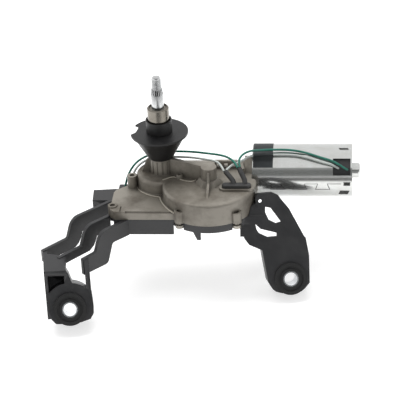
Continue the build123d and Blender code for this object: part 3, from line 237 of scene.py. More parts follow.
def build_drawn_group():
    """Fine lines of drawn, rolled or turned metal, from a vector already stretched along them."""
    group, given, made = new_group(
        "Drawn lines",
        [("Vector", "NodeSocketVector", None), ("Scale", "NodeSocketFloat", 1.0)],
        [("Height", "NodeSocketFloat")],
    )
    noise = group.nodes.new("ShaderNodeTexNoise")
    noise.inputs["Detail"].default_value = 6.0
    noise.inputs["Roughness"].default_value = 0.7
    group.links.new(given.outputs["Vector"], noise.inputs["Vector"])
    group.links.new(given.outputs["Scale"], noise.inputs["Scale"])
    group.links.new(noise.outputs["Fac"], made.inputs["Height"])
    return group


def build_corner_shade_group():
    """Colour darkened by a painted shade where an occlusion mask finds corners."""
    group, given, made = new_group(
        "Settled dirt",
        [
            ("Colour", "NodeSocketColor", (0.5, 0.5, 0.5, 1)),
            ("Dirt", "NodeSocketColor", (0.05, 0.05, 0.05, 1)),
            ("Openness", "NodeSocketFloat", 1.0), ("Amount", "NodeSocketFloat", 0.8),
        ],
        [("Colour", "NodeSocketColor")],
    )
    spread = group.nodes.new("ShaderNodeMapRange")
    spread.inputs["From Min"].default_value = 0.35
    spread.inputs["From Max"].default_value = 0.95
    spread.inputs["To Min"].default_value = 1.0
    spread.inputs["To Max"].default_value = 0.0
    share = group.nodes.new("ShaderNodeMath")
    share.operation = "MULTIPLY"
    mix = group.nodes.new("ShaderNodeMix")
    mix.data_type = "RGBA"
    group.links.new(given.outputs["Openness"], spread.inputs["Value"])
    group.links.new(spread.outputs["Result"], share.inputs[0])
    group.links.new(given.outputs["Amount"], share.inputs[1])
    group.links.new(share.outputs[0], mix.inputs["Factor"])
    group.links.new(given.outputs["Colour"], mix.inputs["A"])
    group.links.new(given.outputs["Dirt"], mix.inputs["B"])
    group.links.new(mix.outputs["Result"], made.inputs["Colour"])
    return group


SHADER_GROUPS = {
    "corner_shade": build_corner_shade_group(), "grain": build_grain_group(),
    "stain": build_stain_group(), "drawn": build_drawn_group(),
}

# How much the stains and the grain's speckle each add to a finish's roughness, within its two ends
STAIN_IN_GLOSS = 0.6
SPECKLE_IN_GLOSS = 0.5
# How far the painted corner shade darkens a colour at most
CORNER_SHADE_AMOUNT = 0.6
BEVEL_SAMPLES = 6
# A finish without a second colour is stained with its own colour, this much darker
SELF_STAIN = 0.8


def place_group(tree, kind, **values):
    """Put a shared group in a material, with its own values."""
    node = tree.nodes.new("ShaderNodeGroup")
    node.node_tree = SHADER_GROUPS[kind]
    for label, value in values.items():
        node.inputs[label].default_value = value
    return node


def colour4(colour, gain=1.0):
    """A property's colour as a shader colour, brighter or darker by gain."""
    return (colour[0] * gain, colour[1] * gain, colour[2] * gain, 1.0)


def make_finish(
    name, colour, metallic=0.0, rough=(0.4, 0.6), stain=None, stain_scale=60.0, stain_edges=(0.42, 0.68),
    grain_scale=900.0, grain_height=0.00005, waviness=0.4, lines=None, line_height=0.00001, coat=0.0,
    specular=0.5, shade_colour=None, shade_reach=0.006, soft_edge=0.0,
):
    """A procedural finish: stained colour, varied roughness, skin grain and, on metal, drawn lines.

    lines is the stretch of the drawn lines along X, Y and Z, in lines per metre. The
    colour given for corners is a painted shade that darkens corners nearer than its reach. soft_edge
    is the radius that sharp edges seem to have.
    """
    material = bpy.data.materials.new(name)
    material.use_nodes = True
    tree = material.node_tree
    shader = tree.nodes["Principled BSDF"]
    coords = tree.nodes.new("ShaderNodeTexCoord")
    source = coords.outputs["Object"]
    second = colour4(stain) if stain else colour4(colour, SELF_STAIN)
    stained = place_group(
        tree, "stain", Scale=stain_scale, Clean=colour4(colour), Stained=second,
        Low=stain_edges[0], High=stain_edges[1],
    )
    tree.links.new(source, stained.inputs["Vector"])
    if shade_colour:
        # Painted shade: the colour is darkened in the corners that the occlusion node finds
        corners = tree.nodes.new("ShaderNodeAmbientOcclusion")
        corners.inputs["Distance"].default_value = shade_reach
        shaded = place_group(tree, "corner_shade", Dirt=colour4(shade_colour), Amount=CORNER_SHADE_AMOUNT)
        tree.links.new(corners.outputs["AO"], shaded.inputs["Openness"])
        tree.links.new(stained.outputs["Colour"], shaded.inputs["Colour"])
        tree.links.new(shaded.outputs["Colour"], shader.inputs["Base Color"])
    else:
        tree.links.new(stained.outputs["Colour"], shader.inputs["Base Color"])
    grain = place_group(tree, "grain", Scale=grain_scale, Waviness=waviness)
    tree.links.new(source, grain.inputs["Vector"])
    gloss = tree.nodes.new("ShaderNodeMapRange")
    gloss.inputs["To Min"].default_value = rough[0]
    gloss.inputs["To Max"].default_value = rough[1]
    mixed = tree.nodes.new("ShaderNodeMath")
    mixed.operation = "MULTIPLY_ADD"
    mixed.inputs[1].default_value = STAIN_IN_GLOSS
    tree.links.new(stained.outputs["Mask"], mixed.inputs[0])
    speckle = tree.nodes.new("ShaderNodeMath")
    speckle.operation = "MULTIPLY"
    speckle.inputs[1].default_value = SPECKLE_IN_GLOSS
    tree.links.new(grain.outputs["Speckle"], speckle.inputs[0])
    tree.links.new(speckle.outputs[0], mixed.inputs[2])
    tree.links.new(mixed.outputs[0], gloss.inputs["Value"])
    tree.links.new(gloss.outputs["Result"], shader.inputs["Roughness"])
    bump = tree.nodes.new("ShaderNodeBump")
    bump.inputs["Strength"].default_value = 1.0
    bump.inputs["Distance"].default_value = grain_height
    tree.links.new(grain.outputs["Height"], bump.inputs["Height"])
    if soft_edge:
        rounded = tree.nodes.new("ShaderNodeBevel")
        rounded.samples = BEVEL_SAMPLES
        rounded.inputs["Radius"].default_value = soft_edge
        tree.links.new(rounded.outputs["Normal"], bump.inputs["Normal"])
    last = bump
    if lines:
        stretch = tree.nodes.new("ShaderNodeMapping")
        stretch.inputs["Scale"].default_value = lines
        tree.links.new(source, stretch.inputs["Vector"])
        drawn = place_group(tree, "drawn", Scale=1.0)
        tree.links.new(stretch.outputs["Vector"], drawn.inputs["Vector"])
        line_bump = tree.nodes.new("ShaderNodeBump")
        line_bump.inputs["Strength"].default_value = 1.0
        line_bump.inputs["Distance"].default_value = line_height
        tree.links.new(drawn.outputs["Height"], line_bump.inputs["Height"])
        tree.links.new(bump.outputs["Normal"], line_bump.inputs["Normal"])
        last = line_bump
    tree.links.new(last.outputs["Normal"], shader.inputs["Normal"])
    shader.inputs["Metallic"].default_value = metallic
    shader.inputs["Coat Weight"].default_value = coat
    shader.inputs["Specular IOR Level"].default_value = specular
    return material


def build_finishes(context):
    """Every finish of the part, by the record's slot name."""
    scene = context.scene
    zinc = scene.casting_finish.colour
    plating = scene.motor_finish.colour
    steel = scene.spindle_finish.colour
    leads = scene.lead_finish
    return {
        "cast_zinc": make_finish(
            "Cast zinc", zinc, metallic=0.35, rough=(0.34, 0.55), stain=(0.118, 0.104, 0.084),
            stain_scale=42.0, grain_scale=1400.0, grain_height=scene.casting_finish.grain, waviness=0.9,
            # painted shade darkens the casting's corners and recesses
            shade_colour=(0.040, 0.034, 0.026), shade_reach=0.007, soft_edge=0.0009,
        ),
        # Beads lighter than the casting: a painted highlight along the casting's edges
        "bead_zinc": make_finish("Bead of the casting", (0.40, 0.37, 0.31), metallic=0.35, rough=(0.35, 0.5)),
        "cover_steel": make_finish(
            "Zinc plated sheet", (0.42, 0.42, 0.40), metallic=0.9, rough=(0.3, 0.5), lines=(4000, 60, 60),
        ),
        "tube_steel": make_finish(
            "Turned tube", (0.20, 0.185, 0.16), metallic=0.95, rough=(0.16, 0.28), stain=(0.12, 0.105, 0.085),
            grain_height=0.00001, lines=(40, 40, 5200), line_height=0.00002,
        ),
        "bearing_bronze": make_finish(
            "Sintered bronze", (0.45, 0.29, 0.12), metallic=0.9, rough=(0.4, 0.6), grain_scale=2500.0,
        ),
        "washer_steel": make_finish(
            "Stamped steel", (0.5, 0.5, 0.48), metallic=0.95, rough=(0.3, 0.45), grain_height=0.00001,
        ),
        "seal_rubber": make_finish(
            "Seal rubber", (0.007, 0.007, 0.0075), rough=(0.38, 0.52), stain=(0.012, 0.012, 0.012),
            stain_scale=90.0, grain_scale=2200.0, grain_height=0.00003, waviness=0.2, specular=0.40,
        ),
        "spindle_steel": make_finish(
            "Ground steel", steel, metallic=0.95, rough=(0.2, 0.34), stain=(0.44, 0.44, 0.45),
            grain_height=0.000008, lines=(30, 30, 6500), line_height=0.000015,
        ),
        "gear_steel": make_finish(
            "Sintered steel", (0.26, 0.26, 0.25), metallic=0.85, rough=(0.4, 0.55), grain_scale=2600.0,
        ),
        "gear_plastic": make_finish(
            "Acetal", (0.70, 0.66, 0.55), rough=(0.35, 0.5), grain_height=0.00002, coat=0.1,
        ),
        "grommet_rubber": make_finish(
            "Grommet rubber", (0.03, 0.03, 0.03), rough=(0.5, 0.68), grain_scale=1800.0, grain_height=0.00003,
        ),
        "yoke_steel": make_finish(
            "Plated casing", plating, metallic=0.9, rough=(0.13, 0.22), stain=(0.54, 0.54, 0.52),
            stain_scale=45.0, grain_scale=700.0, grain_height=0.000004, waviness=0.3,
            lines=(70, 2600, 2600), line_height=0.000003,
        ),
        "ferrite": make_finish("Ferrite", (0.05, 0.05, 0.055), rough=(0.5, 0.65)),
        "core_steel": make_finish(
            "Stacked sheet", (0.2, 0.2, 0.2), metallic=0.8, rough=(0.4, 0.6), lines=(9000, 20, 20),
            line_height=0.00008,
        ),
        "copper_wire": make_finish(
            "Enamelled wire", (0.40, 0.12, 0.04), metallic=0.6, rough=(0.25, 0.4), coat=0.5,
            lines=(1800, 1800, 60), line_height=0.0002,
        ),
        "copper_bar": make_finish("Bare copper", (0.62, 0.30, 0.14), metallic=0.95, rough=(0.25, 0.45)),
        "holder_plastic": make_finish("Holder plastic", (0.02, 0.02, 0.021), rough=(0.4, 0.55)),
        "carbon": make_finish("Pressed carbon", (0.02, 0.02, 0.02), rough=(0.6, 0.75)),
        "screw_steel": make_finish("Plated screw", (0.35, 0.33, 0.29), metallic=0.85, rough=(0.3, 0.5)),
        "bracket_plastic": make_finish(
            "Glass-filled plastic", (0.0125, 0.0125, 0.014), rough=(0.40, 0.56), stain=(0.020, 0.020, 0.021),
            stain_scale=70.0, grain_scale=1700.0, grain_height=0.00005, waviness=0.5, specular=0.6,
            soft_edge=0.0006,
        ),
        "bush_rubber": make_finish(
            "Bush rubber", (0.008, 0.008, 0.008), rough=(0.5, 0.65), grain_scale=1800.0,
        ),
        "sleeve_steel": make_finish(
            "Bright sleeve", (0.66, 0.68, 0.70), metallic=0.95, rough=(0.2, 0.32), grain_height=0.00001,
        ),
        "green_lead": make_finish(
            "Green insulation", leads.green, rough=(0.32, 0.45), stain=(0.008, 0.085, 0.06),
            stain_scale=140.0, grain_height=0.000015, coat=0.15,
        ),
        "grey_lead": make_finish(
            "Grey insulation", leads.grey, rough=(0.32, 0.45), stain=(0.30, 0.32, 0.31), stain_scale=140.0,
            grain_height=0.000015, coat=0.15,
        ),
        "tape": make_finish(
            "Cloth tape", scene.motor_finish.tape_colour, rough=(0.45, 0.6), specular=0.4,
            stain=(0.018, 0.022, 0.023), stain_scale=120.0, grain_scale=2400.0, grain_height=0.00005,
            waviness=0.3,
        ),
        # Dark joint line of the casing; also the painted shade inside its openings and in the knurls' grooves
        "dark_joint_and_shade": make_finish("Joint line", (0.03, 0.03, 0.028), metallic=0.3, rough=(0.5, 0.7)),
    }


FINISHES = {}


# Helpers for pieces

# Points nearer than this, in metres, become one
MERGE_REACH = 1e-6


def finished_piece(name, shape, finish, body, smooth_degrees=35):
    """Turn a bmesh into a piece that rides on a body and wears a finish."""
    mesh = bpy.data.meshes.new(name)
    bmesh.ops.recalc_face_normals(shape, faces=shape.faces)
    shape.to_mesh(mesh)
    shape.free()
    piece = bpy.data.objects.new(name, mesh)
    bpy.context.collection.objects.link(piece)
    mesh.materials.append(FINISHES[finish])
    mesh.shade_smooth()
    mesh.set_sharp_from_angle(angle=math.radians(smooth_degrees))
    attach(piece, body)
    return piece


def spin_profile(points, steps):
    """A closed solid of revolution round Z, from a profile in millimetres with both ends on the axis."""
    shape = bmesh.new()
    row = [shape.verts.new(at(*point)) for point in points]
    edges = [shape.edges.new(pair) for pair in zip(row, row[1:])]
    bmesh.ops.spin(
        shape, geom=row + edges, cent=(0, 0, 0), axis=(0, 0, 1), angle=math.tau, steps=steps,
        use_merge=True, use_duplicate=False,
    )
    bmesh.ops.remove_doubles(shape, verts=shape.verts, dist=MERGE_REACH)
    return shape


def verts_of(made):
    """The vertices among the things that a bmesh operator has made."""
    return [item for item in made["geom"] if isinstance(item, bmesh.types.BMVert)]


def round_curve(name, kind, places, radius, rounding):
    """Curve data with a round section and one spline through places in metres, and that spline."""
    data = bpy.data.curves.new(name, "CURVE")
    data.dimensions = "3D"
    data.bevel_depth = radius
    data.bevel_resolution = rounding
    spline = data.splines.new(kind)
    spline.points.add(len(places) - 1)
    for point, place in zip(spline.points, places):
        point.co = (*place, 1.0)
    return data, spline


def curve_piece(name, data, finish, body):
    """Turn curve data into a piece that rides on a body and wears a finish."""
    piece = bpy.data.objects.new(name, data)
    bpy.context.collection.objects.link(piece)
    data.materials.append(FINISHES[finish])
    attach(piece, body)
    return piece


def smooth_curve(name, points, radius, finish, body):
    """A NURBS curve with round section through control points in millimetres."""
    places = [(x * MM, y * MM, z * MM) for x, y, z in points]
    data, spline = round_curve(name, "NURBS", places, radius, 5)
    spline.order_u = 3
    spline.use_endpoint_u = True
    spline.resolution_u = 10
    data.use_fill_caps = True
    return curve_piece(name, data, finish, body)


def finished_shape(context, source):
    """A bmesh of an object as its modifiers or its bevel leave it."""
    context.view_layer.update()
    ready = source.evaluated_get(context.evaluated_depsgraph_get())
    shape = bmesh.new()
    shape.from_mesh(ready.to_mesh())
    ready.to_mesh_clear()
    return shape


# Stage

# The camera that the photo was fitted to: its own axes, its place and its lens
CAMERA_RIGHT = Vector((0.99603774, 0.07698306, -0.04452456))
CAMERA_UP = Vector((-0.00029140, 0.50348324, 0.86400495))
CAMERA_BACK = Vector((0.08893111, -0.86056856, 0.50151074))
CAMERA_SPOT = at(161.06299, -1255.33616, 664.73884)
SENSOR_WIDTH = 36.0
LENS = 153.0
CAMERA_REACH = 20.0

WHITE = (1, 1, 1, 1)
FLOOR_SIZE = 3.0
FLOOR_GAP = 0.0002
FLOOR_ROUGHNESS = 0.9
FLOOR_SPECULAR = 0.1
# The floor's colour where gloss finds it dark, the one that the camera sees, and the dark card's tone
FLOOR_IN_DARK = (0.10, 0.10, 0.10, 1)
FLOOR_TO_CAMERA = (0.56, 0.56, 0.56, 1)
CARD_TONE = (0.165, 0.172, 0.17, 1)
# Soft edges of the floor's dark part, in metres, and of the card, as parts of a direction.
# Each holds its axis, where it starts and ends, and the mask at these two.
FLOOR_EDGES = (("Y", -0.20, -0.32, 0.0, 1.0), ("X", -0.12, -0.05, 0.0, 1.0), ("X", 0.20, 0.34, 1.0, 0.0))
CARD_EDGES = (("Z", -0.02, 0.12, 0.0, 1.0), ("Z", 0.52, 0.72, 1.0, 0.0), ("Y", -0.65, -0.35, 1.0, 0.0))

# Each lamp: name, place, two sizes, and the property that holds its power
LAMPS = (
    ("Key lamp", (-0.15, 0.30, 0.95), (1.1, 0.7), "key_power"),
    ("Fill lamp", (0.25, -1.1, 0.55), (1.2, 0.6), "fill_power"),
)
LAMP_AIM = Vector((0.03, -0.03, -0.05))


def masked(tree, parts, mask, edges):
    """Multiply a mask by soft edges along the axes of a vector."""
    for axis, low, high, start, end in edges:
        edge = tree.nodes.new("ShaderNodeMapRange")
        edge.interpolation_type = "SMOOTHSTEP"
        edge.inputs["From Min"].default_value = low
        edge.inputs["From Max"].default_value = high
        edge.inputs["To Min"].default_value = start
        edge.inputs["To Max"].default_value = end
        tree.links.new(parts.outputs[axis], edge.inputs["Value"])
        both = tree.nodes.new("ShaderNodeMath")
        both.operation = "MULTIPLY"
        tree.links.new(mask, both.inputs[0])
        tree.links.new(edge.outputs["Result"], both.inputs[1])
        mask = both.outputs[0]
    return mask


def shade_floor(tree, look):
    """A floor that is darker in front of the part where gloss reflects it, and glows to the camera."""
    shader = tree.nodes["Principled BSDF"]
    shader.inputs["Roughness"].default_value = FLOOR_ROUGHNESS
    shader.inputs["Specular IOR Level"].default_value = FLOOR_SPECULAR
    seen = tree.nodes.new("ShaderNodeLightPath")
    place = tree.nodes.new("ShaderNodeNewGeometry")
    parts = tree.nodes.new("ShaderNodeSeparateXYZ")
    tree.links.new(place.outputs["Position"], parts.inputs["Vector"])
    dark = masked(tree, parts, seen.outputs["Is Glossy Ray"], FLOOR_EDGES)
    tone = tree.nodes.new("ShaderNodeMix")
    tone.data_type = "RGBA"
    tone.inputs["A"].default_value = colour4(look.floor)
    tone.inputs["B"].default_value = FLOOR_IN_DARK
    tree.links.new(dark, tone.inputs["Factor"])
    own = tree.nodes.new("ShaderNodeMix")
    own.data_type = "RGBA"
    own.inputs["B"].default_value = FLOOR_TO_CAMERA
    tree.links.new(seen.outputs["Is Camera Ray"], own.inputs["Factor"])
    tree.links.new(tone.outputs["Result"], own.inputs["A"])
    tree.links.new(own.outputs["Result"], shader.inputs["Base Color"])
    left = tree.nodes.new("ShaderNodeMath")
    left.operation = "SUBTRACT"
    tree.links.new(seen.outputs["Is Glossy Ray"], left.inputs[0])
    tree.links.new(dark, left.inputs[1])
    camera = tree.nodes.new("ShaderNodeMath")
    camera.operation = "MULTIPLY"
    camera.inputs[1].default_value = look.floor_lift
    tree.links.new(seen.outputs["Is Camera Ray"], camera.inputs[0])
    glow = tree.nodes.new("ShaderNodeMath")
    glow.operation = "MULTIPLY_ADD"
    glow.inputs[1].default_value = look.floor_gloss
    tree.links.new(left.outputs[0], glow.inputs[0])
    tree.links.new(camera.outputs[0], glow.inputs[2])
    shader.inputs["Emission Color"].default_value = WHITE
    tree.links.new(glow.outputs[0], shader.inputs["Emission Strength"])


def shade_surround(tree, look):
    """A white surround with a dark card in front of the part, low over the floor, seen by gloss only."""
    background = tree.nodes["Background"]
    seen = tree.nodes.new("ShaderNodeLightPath")
    either = tree.nodes.new("ShaderNodeMath")
    either.operation = "MAXIMUM"
    level = tree.nodes.new("ShaderNodeMapRange")
    level.inputs["To Min"].default_value = look.sky
    level.inputs["To Max"].default_value = 1.0
    tree.links.new(seen.outputs["Is Camera Ray"], either.inputs[0])
    tree.links.new(seen.outputs["Is Glossy Ray"], either.inputs[1])
    tree.links.new(either.outputs[0], level.inputs["Value"])
    tree.links.new(level.outputs["Result"], background.inputs["Strength"])
    coords = tree.nodes.new("ShaderNodeTexCoord")
    parts = tree.nodes.new("ShaderNodeSeparateXYZ")
    tree.links.new(coords.outputs["Generated"], parts.inputs["Vector"])
    mask = masked(tree, parts, seen.outputs["Is Glossy Ray"], CARD_EDGES)
    tone = tree.nodes.new("ShaderNodeMix")
    tone.data_type = "RGBA"
    tone.inputs["A"].default_value = WHITE
    tone.inputs["B"].default_value = CARD_TONE
    tree.links.new(mask, tone.inputs["Factor"])
    tree.links.new(tone.outputs["Result"], background.inputs["Color"])


class WIPER_OT_stage(bpy.types.Operator):
    """Place the camera, the white floor and the soft lamps"""
    bl_idname = "wiper.stage"
    bl_label = "Camera, floor and lamps"

    def add_camera(self, context):
        """The camera that sees the part as the photo does."""
        data = bpy.data.cameras.new("Photo camera")
        data.sensor_width = SENSOR_WIDTH
        data.lens = LENS
        data.clip_end = CAMERA_REACH
        camera = bpy.data.objects.new("Photo camera", data)
        context.collection.objects.link(camera)
        turn = Matrix((CAMERA_RIGHT, CAMERA_UP, CAMERA_BACK)).transposed().to_4x4()
        camera.matrix_world = Matrix.Translation(CAMERA_SPOT) @ turn
        context.scene.camera = camera

    def add_floor(self, context):
        """The floor, just under the part's lowest point."""
        shape = bmesh.new()
        bmesh.ops.create_grid(shape, x_segments=2, y_segments=2, size=FLOOR_SIZE)
        bmesh.ops.translate(shape, verts=shape.verts, vec=(0, 0, CAD_LOW[2] - FLOOR_GAP))
        mesh = bpy.data.meshes.new("floor")
        shape.to_mesh(mesh)
        shape.free()
        floor = bpy.data.objects.new("floor", mesh)
        context.collection.objects.link(floor)
        material = bpy.data.materials.new("Pale floor")
        material.use_nodes = True
        shade_floor(material.node_tree, context.scene.stage_look)
        mesh.materials.append(material)

    def add_lamps(self, context):
        """The two large soft lamps, which gloss doesn't show."""
        for name, spot, size, power in LAMPS:
            light = bpy.data.lights.new(name, "AREA")
            light.shape = "RECTANGLE"
            light.size, light.size_y = size
            light.energy = getattr(context.scene.stage_look, power)
            lamp = bpy.data.objects.new(name, light)
            context.collection.objects.link(lamp)
            lamp.location = spot
            lamp.visible_glossy = False
            lamp.rotation_euler = (LAMP_AIM - Vector(spot)).to_track_quat("-Z", "Y").to_euler()

    def execute(self, context):
        self.add_camera(context)
        self.add_floor(context)
        self.add_lamps(context)
        world = bpy.data.worlds.new("White surround")
        context.scene.world = world
        world.use_nodes = True
        shade_surround(world.node_tree, context.scene.stage_look)
        context.scene.view_settings.view_transform = "Standard"
        return {"FINISHED"}


# Leads

GREEN_SUPPLY = [
    (66.185, -18.517, -24.917), (63.9, -13.2, -22.7), (57.8, -5, -22.4), (50.0, 1.3, -23.4), (38.6, 7, -25),
    (25.6, 11.6, -25.9), (11.2, 14.3, -26.9), (-2.4, 14.8, -28.0), (-13.4, 13.2, -30.4), (-20.5, 10.8, -33.6),
    (-24.9, 9.0, -37.4), (-28.6, 7.9, -42.9), (-31.6, 7.4, -49.4), (-33.6, 7.6, -58.0),
]
GREY_SUPPLY = [
    (54.722, -19.715, -27.564), (51.9, -13.9, -24.9), (47.0, -7.6, -24.2), (38.2, -1.8, -26.0),
    (26.3, 4.6, -27.6), (11.6, 9.4, -29.6), (-2.2, 12.0, -30.6), (-12.2, 10.9, -32.6), (-18.6, 8.9, -35.4), (-23.2, 7.6, -40.0),
    (-26.2, 7.1, -46.4), (-28.0, 7.6, -58.0),
]
GREEN_MOTOR = [
    (68.043, -18.076, -24.476), (66.4, -13.4, -21.2), (69.4, -6.6, -18.8), (75.6, 1.0, -19.4),
    (83.6, 6.9, -22.0), (94.0, 9.6, -23.1), (105.6, 9.9, -23.2), (115.4, 8.6, -23.7), (125.0, 6.3, -25.1), (134.4, 3.5, -27.2),
    (143.6, 1.3, -28.9), (150.4, -1.5, -31.5), (155.0, -2.4, -34.5), (157.6, -2.2, -36.2),
]
GREY_MOTOR = [
    (56.478, -19.047, -27.008), (59.6, -13.9, -25.7), (67.0, -7.4, -25.6), (76.2, 1.9, -24.2),
    (85.5, 4.8, -25.4), (95.5, 4.7, -25.3), (106.0, 4.9, -25.3), (116.0, 4.3, -25.7), (126.0, 2.2, -27.5), (135.0, 0.0, -29.6),
    (142.6, -1.1, -31.0), (147.2, -2.0, -33.2), (150.0, -1.5, -35.2),
]


class WIPER_OT_leads(bpy.types.Operator):
    """Lay the four leads that leave the gearbox's grommet"""
    bl_idname = "wiper.leads"
    bl_label = "Leads"

    def execute(self, context):
        thick = context.scene.lead_finish.diameter
        for name, points, slot, node in (
            ("lead_green_supply", GREEN_SUPPLY, "green_lead", "green_supply_lead"),
            ("lead_grey_supply", GREY_SUPPLY, "grey_lead", "grey_supply_lead"),
            ("lead_green_motor", GREEN_MOTOR, "green_lead", "green_motor_lead"),
            ("lead_grey_motor", GREY_MOTOR, "grey_lead", "grey_motor_lead"),
        ):
            piece = smooth_curve(name, points, thick / 2, slot, "motor_body")
            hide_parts(node)
        return {"FINISHED"}


# Spindle

# Profile up to the thread, with the groove of the retaining ring
SHAFT_R = 5.2
SHAFT_PROFILE = [
    (0, 0, -56.2), (4.6, 0, -56.2), (SHAFT_R, 0, -55.6), (SHAFT_R, 0, 21.4), (4.6, 0, 21.4), (4.6, 0, 22.2),
    (SHAFT_R, 0, 22.2), (SHAFT_R, 0, 34.8), (4.9, 0, 35.3), (4.35, 0, 35.5), (4.05, 0, 39.9), (3.6, 0, 40.2),
]
THREAD_LOW, THREAD_TOP = 40.5, 49.4
THREAD_ROOT_R, THREAD_CREST_R = 3.3, 3.97
# The lower and the upper edge of a crest, as shares of the pitch
CREST_EDGES = (0.40, 0.60)
# The first point above the thread, and the tip over it
RUN_OUT_R = 3.45
STUD_TIP = [(3.5, 0, 49.7), (3.1, 0, 50.5), (0, 0, 50.5)]

KNURL_LOW, KNURL_HEIGHT = 35.4, 4.4
# Radius of a groove between two knurls as a share of SHAFT_R, and the cone's taper to its top
KNURL_DEPTH = 0.84
KNURL_TAPER = 0.885
# The knurls' ends slope inwards to this radius, over this height
KNURL_END_R = 3.9
KNURL_END_HEIGHT = 0.35
# Points of the rim for each knurl, of which the last two lie in the groove
KNURL_POINTS = 4
# A dark core inside the knurls: painted shade at the bottom of the grooves
GROOVE_SHADE_CORE = ((0, 0, 35.5), (4.76, 0, 35.5), (4.2, 0, 39.7), (0, 0, 39.7))


class WIPER_OT_spindle(bpy.types.Operator):
    """Turn the spindle with its knurled cone and threaded stud"""
    bl_idname = "wiper.spindle"
    bl_label = "Spindle"

    def knurled_ring(self, knurls):
        """The cone's knurls as a ring with sloped ends."""
        shape = bmesh.new()
        ring = bmesh.ops.create_circle(
            shape, cap_ends=False, segments=KNURL_POINTS * knurls, radius=SHAFT_R * MM,
        )["verts"]
        for number, vert in enumerate(ring):
            if number % KNURL_POINTS >= KNURL_POINTS - 2:
                vert.co.x *= KNURL_DEPTH
                vert.co.y *= KNURL_DEPTH
        bmesh.ops.translate(shape, verts=shape.verts, vec=at(0, 0, KNURL_LOW))
        verts = verts_of(bmesh.ops.extrude_edge_only(shape, edges=list(shape.edges)))
        bmesh.ops.translate(shape, verts=verts, vec=at(0, 0, KNURL_HEIGHT))
        bmesh.ops.scale(shape, verts=verts, vec=(KNURL_TAPER, KNURL_TAPER, 1.0))
        rims = [edge for edge in shape.edges if edge.is_boundary]
        middle = (KNURL_LOW + KNURL_HEIGHT / 2) * MM
        for vert in verts_of(bmesh.ops.extrude_edge_only(shape, edges=rims)):
            reach = Vector((vert.co.x, vert.co.y)).length
            vert.co.x *= KNURL_END_R * MM / reach
            vert.co.y *= KNURL_END_R * MM / reach
            vert.co.z += (KNURL_END_HEIGHT if vert.co.z > middle else -KNURL_END_HEIGHT) * MM
        return shape

    def execute(self, context):
        finish = context.scene.spindle_finish
        pitch = finish.thread_pitch / MM
        profile = list(SHAFT_PROFILE)
        height = THREAD_LOW
        while height + pitch < THREAD_TOP:
            profile.append((THREAD_ROOT_R, 0, height))
            profile += [(THREAD_CREST_R, 0, height + share * pitch) for share in CREST_EDGES]
            height += pitch
        profile += [(RUN_OUT_R, 0, height)] + STUD_TIP
        shape = spin_profile(profile, 64)
        spindle = finished_piece("spindle_turned", shape, "spindle_steel", "spindle")
        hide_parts("wiper_spindle")
        shape = self.knurled_ring(finish.knurls)
        finished_piece("spindle_knurl", shape, "spindle_steel", "spindle", smooth_degrees=20)
        # A dark core under the knurls paints shade into their grooves
        finished_piece("spindle_grooves", spin_profile(GROOVE_SHADE_CORE, 48), "dark_joint_and_shade", "spindle")
        return {"FINISHED"}


# Tape and casing joint

MOTOR_Y, MOTOR_Z = 17.0, -47.3
YOKE_R = 23.0
# Distance of the casing's two flats from its axis, and the ways they face, in degrees
FLAT_REACH = 22.3
FLATS = (49.0, 229.0)


def on_yoke(x, degrees, lift=0.0):
    """Point on the motor casing at x, this many degrees above the horizontal towards -Y."""
    angle = math.radians(degrees)
    reach = YOKE_R
    for flat in FLATS:
        toward = math.cos(angle - math.radians(flat))
        if toward > 0:
            reach = min(reach, FLAT_REACH / toward)
    reach += lift
    return (x, MOTOR_Y - reach * math.cos(angle), MOTOR_Z + reach * math.sin(angle))


TAPE_X = 77.8
TAPE_LOW = 35.0
TAPE_STEP, TAPE_POINTS = 4.0, 42
TAPE_LIFT = 0.25
TAPE_THICKNESS = 0.2
# Width of the strips along the tape's two edges
TAPE_RIM = 0.2
# Where the tape goes over the grey lead: degrees, half the hump's width in degrees, its height and form
HUMP_AT, HUMP_HALF = 61.0, 9.0
HUMP_RISE, HUMP_POWER = 2.3, 0.7
# The tape also goes round this part of the grey lead, as shares of its length
WRAP_RADIUS = 0.00112
WRAP_PART = (0.288, 0.456)


class WIPER_OT_tape(bpy.types.Operator):
    """Wrap the tape round the casing and over the grey lead"""
    bl_idname = "wiper.tape"
    bl_label = "Tape"

    def execute(self, context):
        width = context.scene.motor_finish.tape_width / MM
        shape = bmesh.new()
        ring = []
        for step in range(TAPE_POINTS):
            degrees = TAPE_LOW + step * TAPE_STEP
            lift = TAPE_LIFT
            off = abs(degrees - HUMP_AT)
            if off < HUMP_HALF:
                lift += HUMP_RISE * math.cos(math.radians(90 * off / HUMP_HALF)) ** HUMP_POWER
            ring.append(shape.verts.new(at(*on_yoke(TAPE_X, degrees, lift))))
        edges = [shape.edges.new(pair) for pair in zip(ring, ring[1:])]
        for strip in (TAPE_RIM, width / 2 - TAPE_RIM, width / 2 - TAPE_RIM, TAPE_RIM):
            made = bmesh.ops.extrude_edge_only(shape, edges=edges)
            bmesh.ops.translate(shape, verts=verts_of(made), vec=at(strip, 0, 0))
            edges = [item for item in made["geom"] if isinstance(item, bmesh.types.BMEdge)]
        bmesh.ops.recalc_face_normals(shape, faces=shape.faces)
        bmesh.ops.solidify(shape, geom=shape.faces, thickness=TAPE_THICKNESS * MM)
        finished_piece("yoke_tape", shape, "tape", "motor_body", smooth_degrees=60)
        wrap = smooth_curve("wrap_line", GREY_MOTOR, WRAP_RADIUS, "tape", "motor_body")
        wrap.data.bevel_factor_mapping_start = "SPLINE"
        wrap.data.bevel_factor_mapping_end = "SPLINE"
        wrap.data.bevel_factor_start, wrap.data.bevel_factor_end = WRAP_PART
        shape = finished_shape(context, wrap)
        bpy.data.objects.remove(wrap)
        finished_piece("lead_wrap", shape, "tape", "motor_body", smooth_degrees=60)
        return {"FINISHED"}


